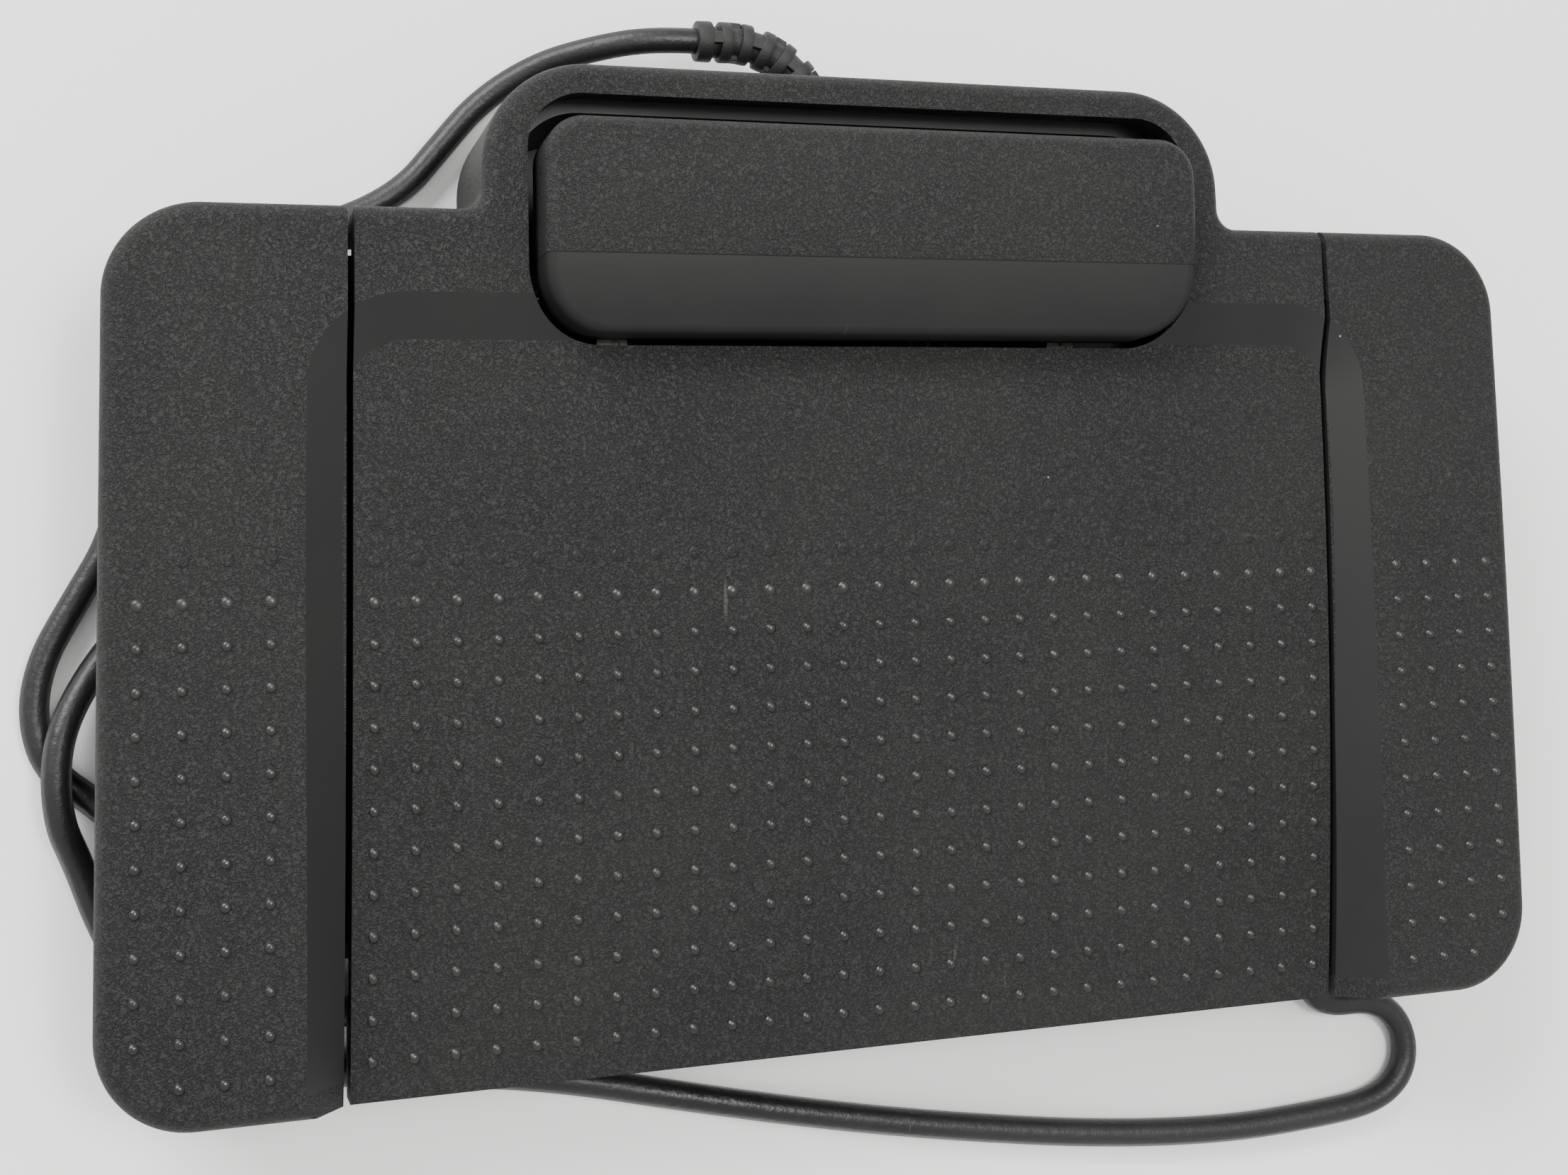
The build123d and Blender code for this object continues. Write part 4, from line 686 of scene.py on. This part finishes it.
def add_cord():
    """The whole cord as one round run, from the strain relief through the hank to the plug."""
    data = bpy.data.curves.new("signal_cord_run", "CURVE")
    data.dimensions = "3D"
    data.bevel_depth = CORD_RADIUS * MM
    data.bevel_resolution = 3
    spline = data.splines.new("NURBS")
    route = TO_HANK + hank_turns() + FROM_HANK
    spline.points.add(len(route) - 1)
    for point, (x, y, z) in zip(spline.points, route):
        point.co = (x * MM, y * MM, z * MM, 1.0)
    spline.order_u = 3
    spline.use_endpoint_u = True
    spline.resolution_u = 7
    data.use_fill_caps = True
    data.materials.append(MATERIALS["cord_jacket"])
    cord = bpy.data.objects.new("signal_cord_run", data)
    bpy.context.collection.objects.link(cord)
    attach(cord, "base")
    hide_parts("signal_cord", "cord_hank", "signal_cord_end")
    return cord


# ---------------------------------------------------------------- strain relief, tie and plug
EXIT = (-1.0, 62.7, 12.0)
RELIEF_BEND = 14.0
RELIEF_LENGTH = 32.9
CORE_RADIUS = 2.45
CORE_STEP = 0.9
RING_RADIUS = 3.2
RING_LENGTH = 1.85
RING_PITCH = 3.3
FIRST_RING = 4.5
RINGS = 7
END_COLLAR = 2.4
BRIDGE_WIDTH = 1.9
BRIDGE_DEPTH = 1.0
BRIDGE_FROM_LINE = 2.55
ROOT_LENGTH = 5.2
FLANGE_RADIUS = 4.4
FLANGE_LENGTH = 1.6


def relief_station(distance):
    """Place and heading on the strain relief's centre line, measured back from its far end."""
    straight = EXIT[0] - RELIEF_BEND - RELIEF_END[0]
    if distance <= straight:
        return Vector((RELIEF_END[0] + distance, RELIEF_END[1], EXIT[2])), Vector((1, 0, 0))
    arc = math.pi / 2 * RELIEF_BEND
    centre = Vector((EXIT[0] - RELIEF_BEND, RELIEF_END[1] - RELIEF_BEND, EXIT[2]))
    if distance <= straight + arc:
        angle = (distance - straight) / RELIEF_BEND
        spot = centre + RELIEF_BEND * Vector((math.sin(angle), math.cos(angle), 0))
        return spot, Vector((math.cos(angle), -math.sin(angle), 0))
    down = distance - straight - arc
    return Vector((EXIT[0], RELIEF_END[1] - RELIEF_BEND - down, EXIT[2])), Vector((0, -1, 0))


def ring_at(bm, distance, length, radius_near, radius_far, segments=28, edge=0.25):
    """A short round block on the relief's line, its rims softened."""
    spot, heading = relief_station(distance)
    made = bmesh.ops.create_cone(
        bm, cap_ends=True, segments=segments, radius1=radius_near, radius2=radius_far, depth=length
    )
    turn = Vector((0, 0, 1)).rotation_difference(heading).to_matrix().to_4x4()
    bmesh.ops.transform(bm, matrix=Matrix.Translation(spot) @ turn, verts=made["verts"])
    rims = {
        edge for vert in made["verts"] for edge in vert.link_edges
        if len(edge.link_faces) == 2 and edge.calc_face_angle(0) > 1.0
    }
    bmesh.ops.bevel(
        bm, geom=list(rims), offset=edge, segments=2, affect="EDGES", profile=0.5, material=-1
    )


def bridge_at(bm, distance, length, outward):
    """A small block joining two rings on one side of the relief."""
    spot, heading = relief_station(distance)
    across = outward - heading * outward.dot(heading)
    across.normalize()
    block = bmesh.ops.create_cube(bm, size=1.0)
    third = heading.cross(across)
    turn = Matrix((heading, third, across)).transposed().to_4x4()
    shape = Matrix.Diagonal((length, BRIDGE_WIDTH, BRIDGE_DEPTH, 1.0))
    move = Matrix.Translation(spot + across * BRIDGE_FROM_LINE)
    bmesh.ops.transform(bm, matrix=move @ turn @ shape, verts=block["verts"])
    edges = {edge for vert in block["verts"] for edge in vert.link_edges}
    bmesh.ops.bevel(
        bm, geom=list(edges), offset=0.12, segments=1, affect="EDGES", profile=0.5, material=-1
    )


def add_strain_relief():
    """A soft core with flat rings, joined by bridges that change sides from gap to gap."""
    bm = bmesh.new()
    for index in range(int((RELIEF_LENGTH - 1.0) / CORE_STEP)):
        ring_at(bm, 1.0 + index * CORE_STEP, CORE_STEP * 1.35, CORE_RADIUS, CORE_RADIUS, 20, 0.02)
    ring_at(bm, END_COLLAR / 2, END_COLLAR, 3.15, RING_RADIUS)
    up = Vector((0, 0, 1))
    back = Vector((0, 1, 0))
    for index in range(RINGS):
        middle = FIRST_RING + index * RING_PITCH
        ring_at(bm, middle, RING_LENGTH, RING_RADIUS, RING_RADIUS, 28, 0.3)
        outward = back if index % 2 else up
        for sign in (-1, 1):
            bridge_at(bm, middle - RING_PITCH / 2, RING_PITCH - 1.4, outward * sign)
    ring_at(bm, RELIEF_LENGTH - 4.2, ROOT_LENGTH, RING_RADIUS, RING_RADIUS)
    ring_at(bm, RELIEF_LENGTH - FLANGE_LENGTH / 2, FLANGE_LENGTH, FLANGE_RADIUS, FLANGE_RADIUS)
    bmesh.ops.recalc_face_normals(bm, faces=bm.faces)
    piece = place("relief_rings", bm, "relief_rubber")
    sharp_edges(piece.data, 40)
    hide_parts("strain_relief")
    return piece


STRAP_FRONT = -0.2
STRAP_WIDTH = 8.4
STRAP_THICKNESS = 0.35
STRAP_SIDE = [(17.4, 0.4), (18.65, 1.6), (18.65, 4.4), (17.6, 5.6), (14.6, 8.4), (13.2, 9.35)]
FLAP_SIZE = (15.0, 7.6, 0.4)
FLAP_MIDDLE = (HANK_X + 3.0, 4.0, 9.58)
STRAP_EDGE = 0.12


def add_hank_tie():
    """A soft strap round the wound cord, with an overlapping end on top."""
    bm = bmesh.new()
    outline = STRAP_SIDE + [(-x, z) for x, z in reversed(STRAP_SIDE)]
    corners = [bm.verts.new((HANK_X + x, STRAP_FRONT, z)) for x, z in outline]
    edges = [bm.edges.new((a, b)) for a, b in zip(corners, corners[1:] + corners[:1])]
    band = bmesh.ops.extrude_edge_only(bm, edges=edges)["geom"]
    moved = [v for v in band if isinstance(v, bmesh.types.BMVert)]
    bmesh.ops.translate(bm, vec=(0, STRAP_WIDTH, 0), verts=moved)
    bmesh.ops.recalc_face_normals(bm, faces=bm.faces)
    bmesh.ops.solidify(bm, geom=bm.faces[:], thickness=STRAP_THICKNESS)
    flap = bmesh.ops.create_cube(bm, size=1.0)["verts"]
    bmesh.ops.scale(bm, vec=FLAP_SIZE, verts=flap)
    bmesh.ops.translate(bm, vec=FLAP_MIDDLE, verts=flap)
    bmesh.ops.recalc_face_normals(bm, faces=bm.faces)
    piece = place("tie_strap", bm, "tie_plastic")
    bevel = piece.modifiers.new("soft_edges", "BEVEL")
    bevel.width = STRAP_EDGE * MM
    bevel.segments = 2
    bevel.limit_method = "ANGLE"
    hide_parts("hank_tie")
    return piece


PLUG = FROM_HANK[-1]
GRIP_LENGTH = 16.0
GRIP_NOSE = [(0.0, 2.0), (0.0, 3.0), (0.5, 3.4), (3.4, 3.9), (4.0, 4.6)]
GRIP_TAIL = [(12.4, 4.9), (15.4, 4.95), (GRIP_LENGTH, 4.6), (GRIP_LENGTH, 3.6)]
RIBS = 4
RIB_START = 4.6
RIB_PITCH = 1.9
RIB_RADIUS = 4.9
GROOVE_RADIUS = 4.4


def add_plug_grip():
    """A turned grip with finger ribs, tapering towards the cord."""
    bm = bmesh.new()
    profile = list(GRIP_NOSE)
    for rib in range(RIBS):
        y = RIB_START + rib * RIB_PITCH
        profile += [(y, RIB_RADIUS), (y + 0.9, RIB_RADIUS)]
        profile += [(y + 1.1, GROOVE_RADIUS), (y + 1.7, GROOVE_RADIUS)]
    profile += GRIP_TAIL
    line = [bm.verts.new((radius, 0, y)) for y, radius in profile]
    edges = [bm.edges.new(pair) for pair in zip(line, line[1:])]
    bmesh.ops.spin(
        bm, geom=line + edges, cent=(0, 0, 0), axis=(0, 0, 1), angle=2 * math.pi, steps=32,
        use_merge=True,
    )
    bmesh.ops.remove_doubles(bm, verts=bm.verts, dist=0.001)
    bmesh.ops.holes_fill(bm, edges=bm.edges)
    turn = Matrix.Rotation(math.radians(-90), 4, "X")
    bmesh.ops.transform(bm, matrix=Matrix.Translation(Vector(PLUG)) @ turn, verts=bm.verts)
    bmesh.ops.recalc_face_normals(bm, faces=bm.faces)
    piece = place("ribbed_grip", bm, "plug_plastic")
    sharp_edges(piece.data)
    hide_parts("plug_grip")
    return piece


# ---------------------------------------------------------------- return springs
WIRE_RADIUS = 0.4
WIRE_SIDES = 8
END_TURN = 0.8
END_PITCH = 2.2 * WIRE_RADIUS
END_PLAY = 0.1
ACTIVE_TURNS = 4
STEPS_PER_TURN = 20
PEDAL_PIVOT_Y = 40.0
PEDAL_TRAVEL = math.radians(2.0)
KEY_PIVOT_Y = 56.0
KEY_TRAVEL = math.radians(3.0)
SPRINGS = {
    "left_pedal_spring": ("left_pedal_hinge", PEDAL_PIVOT_Y, PEDAL_TRAVEL),
    "right_pedal_spring": ("right_pedal_hinge", PEDAL_PIVOT_Y, PEDAL_TRAVEL),
    "centre_spring_left": ("centre_pedal_hinge", PEDAL_PIVOT_Y, PEDAL_TRAVEL),
    "centre_spring_right": ("centre_pedal_hinge", PEDAL_PIVOT_Y, PEDAL_TRAVEL),
    "key_spring_left": ("bar_key_hinge", KEY_PIVOT_Y, KEY_TRAVEL),
    "key_spring_right": ("bar_key_hinge", KEY_PIVOT_Y, KEY_TRAVEL),
}


def add_return_spring(node):
    """A coil of round wire with closed end turns."""
    low, high = (Vector(corner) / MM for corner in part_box(node))
    middle = (low + high) / 2
    coil_radius = (high.x - low.x) / 2 - WIRE_RADIUS
    height = high.z - low.z - 2 * WIRE_RADIUS - END_PLAY
    closed = END_TURN * END_PITCH
    bm = bmesh.new()
    ring = bmesh.ops.create_circle(bm, segments=WIRE_SIDES, radius=WIRE_RADIUS)["verts"]
    stand = Matrix.Translation((middle.x + coil_radius, middle.y, low.z + WIRE_RADIUS))
    bmesh.ops.transform(bm, matrix=stand @ Matrix.Rotation(math.radians(90), 4, "X"), verts=ring)
    geometry = ring + bm.edges[:]
    for turns, rise in ((END_TURN, closed), (ACTIVE_TURNS, height - 2 * closed), (END_TURN, closed)):
        steps = round(turns * STEPS_PER_TURN)
        geometry = bmesh.ops.spin(
            bm, geom=geometry, cent=middle, axis=(0, 0, 1), dvec=(0, 0, rise / steps),
            angle=2 * math.pi * turns, steps=steps,
        )["geom_last"]
    bmesh.ops.holes_fill(bm, edges=[edge for edge in bm.edges if edge.is_boundary])
    bmesh.ops.recalc_face_normals(bm, faces=bm.faces)
    piece = place(f"{node}_coil", bm, "spring_steel")
    sharp_edges(piece.data, 60)
    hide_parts(node)
    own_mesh(piece)


def add_return_springs():
    for node, (joint, pivot_y, travel) in SPRINGS.items():
        add_return_spring(node)


# ---------------------------------------------------------------- light and floor
def add_light(name, place_at, aim, size, power, colour=(1.0, 1.0, 1.0)):
    data = bpy.data.lights.new(name, "AREA")
    data.shape = "RECTANGLE"
    data.size, data.size_y = size
    data.energy = power
    data.color = colour
    lamp = bpy.data.objects.new(name, data)
    lamp.location = place_at
    heading = Vector(aim) - Vector(place_at)
    lamp.rotation_euler = heading.to_track_quat("-Z", "Y").to_euler()
    bpy.context.collection.objects.link(lamp)


FLOOR_HALF_WIDTH = 3.0
SKY = (1.0, 1.0, 1.0, 1.0)
MACHINE = (0, 0, 0.02)


def add_studio():
    """A pale floor, an even white sky, a window behind on the left and a lamp overhead."""
    bm = bmesh.new()
    bmesh.ops.create_grid(bm, x_segments=1, y_segments=1, size=FLOOR_HALF_WIDTH)
    mesh = bpy.data.meshes.new("floor")
    bm.to_mesh(mesh)
    bm.free()
    mesh.materials.append(pale_floor())
    floor = bpy.data.objects.new("floor", mesh)
    bpy.context.collection.objects.link(floor)
    world = bpy.data.worlds.new("studio")
    world.use_nodes = True
    world.node_tree.nodes["Background"].inputs["Color"].default_value = SKY
    world.node_tree.nodes["Background"].inputs["Strength"].default_value = 1.0
    bpy.context.scene.world = world
    add_light("window", (-0.75, 0.95, 0.85), MACHINE, size=(0.9, 0.5), power=30.0)
    add_light("room", (0.2, 0.15, 1.3), MACHINE, size=(0.5, 0.3), power=12.0, colour=(1.0, 0.98, 0.95))


add_camera()
cord = add_cord()
relief = add_strain_relief()
tie = add_hank_tie()
grip = add_plug_grip()
dress_cad_nodes()
add_all_dots()
add_return_springs()
add_studio()
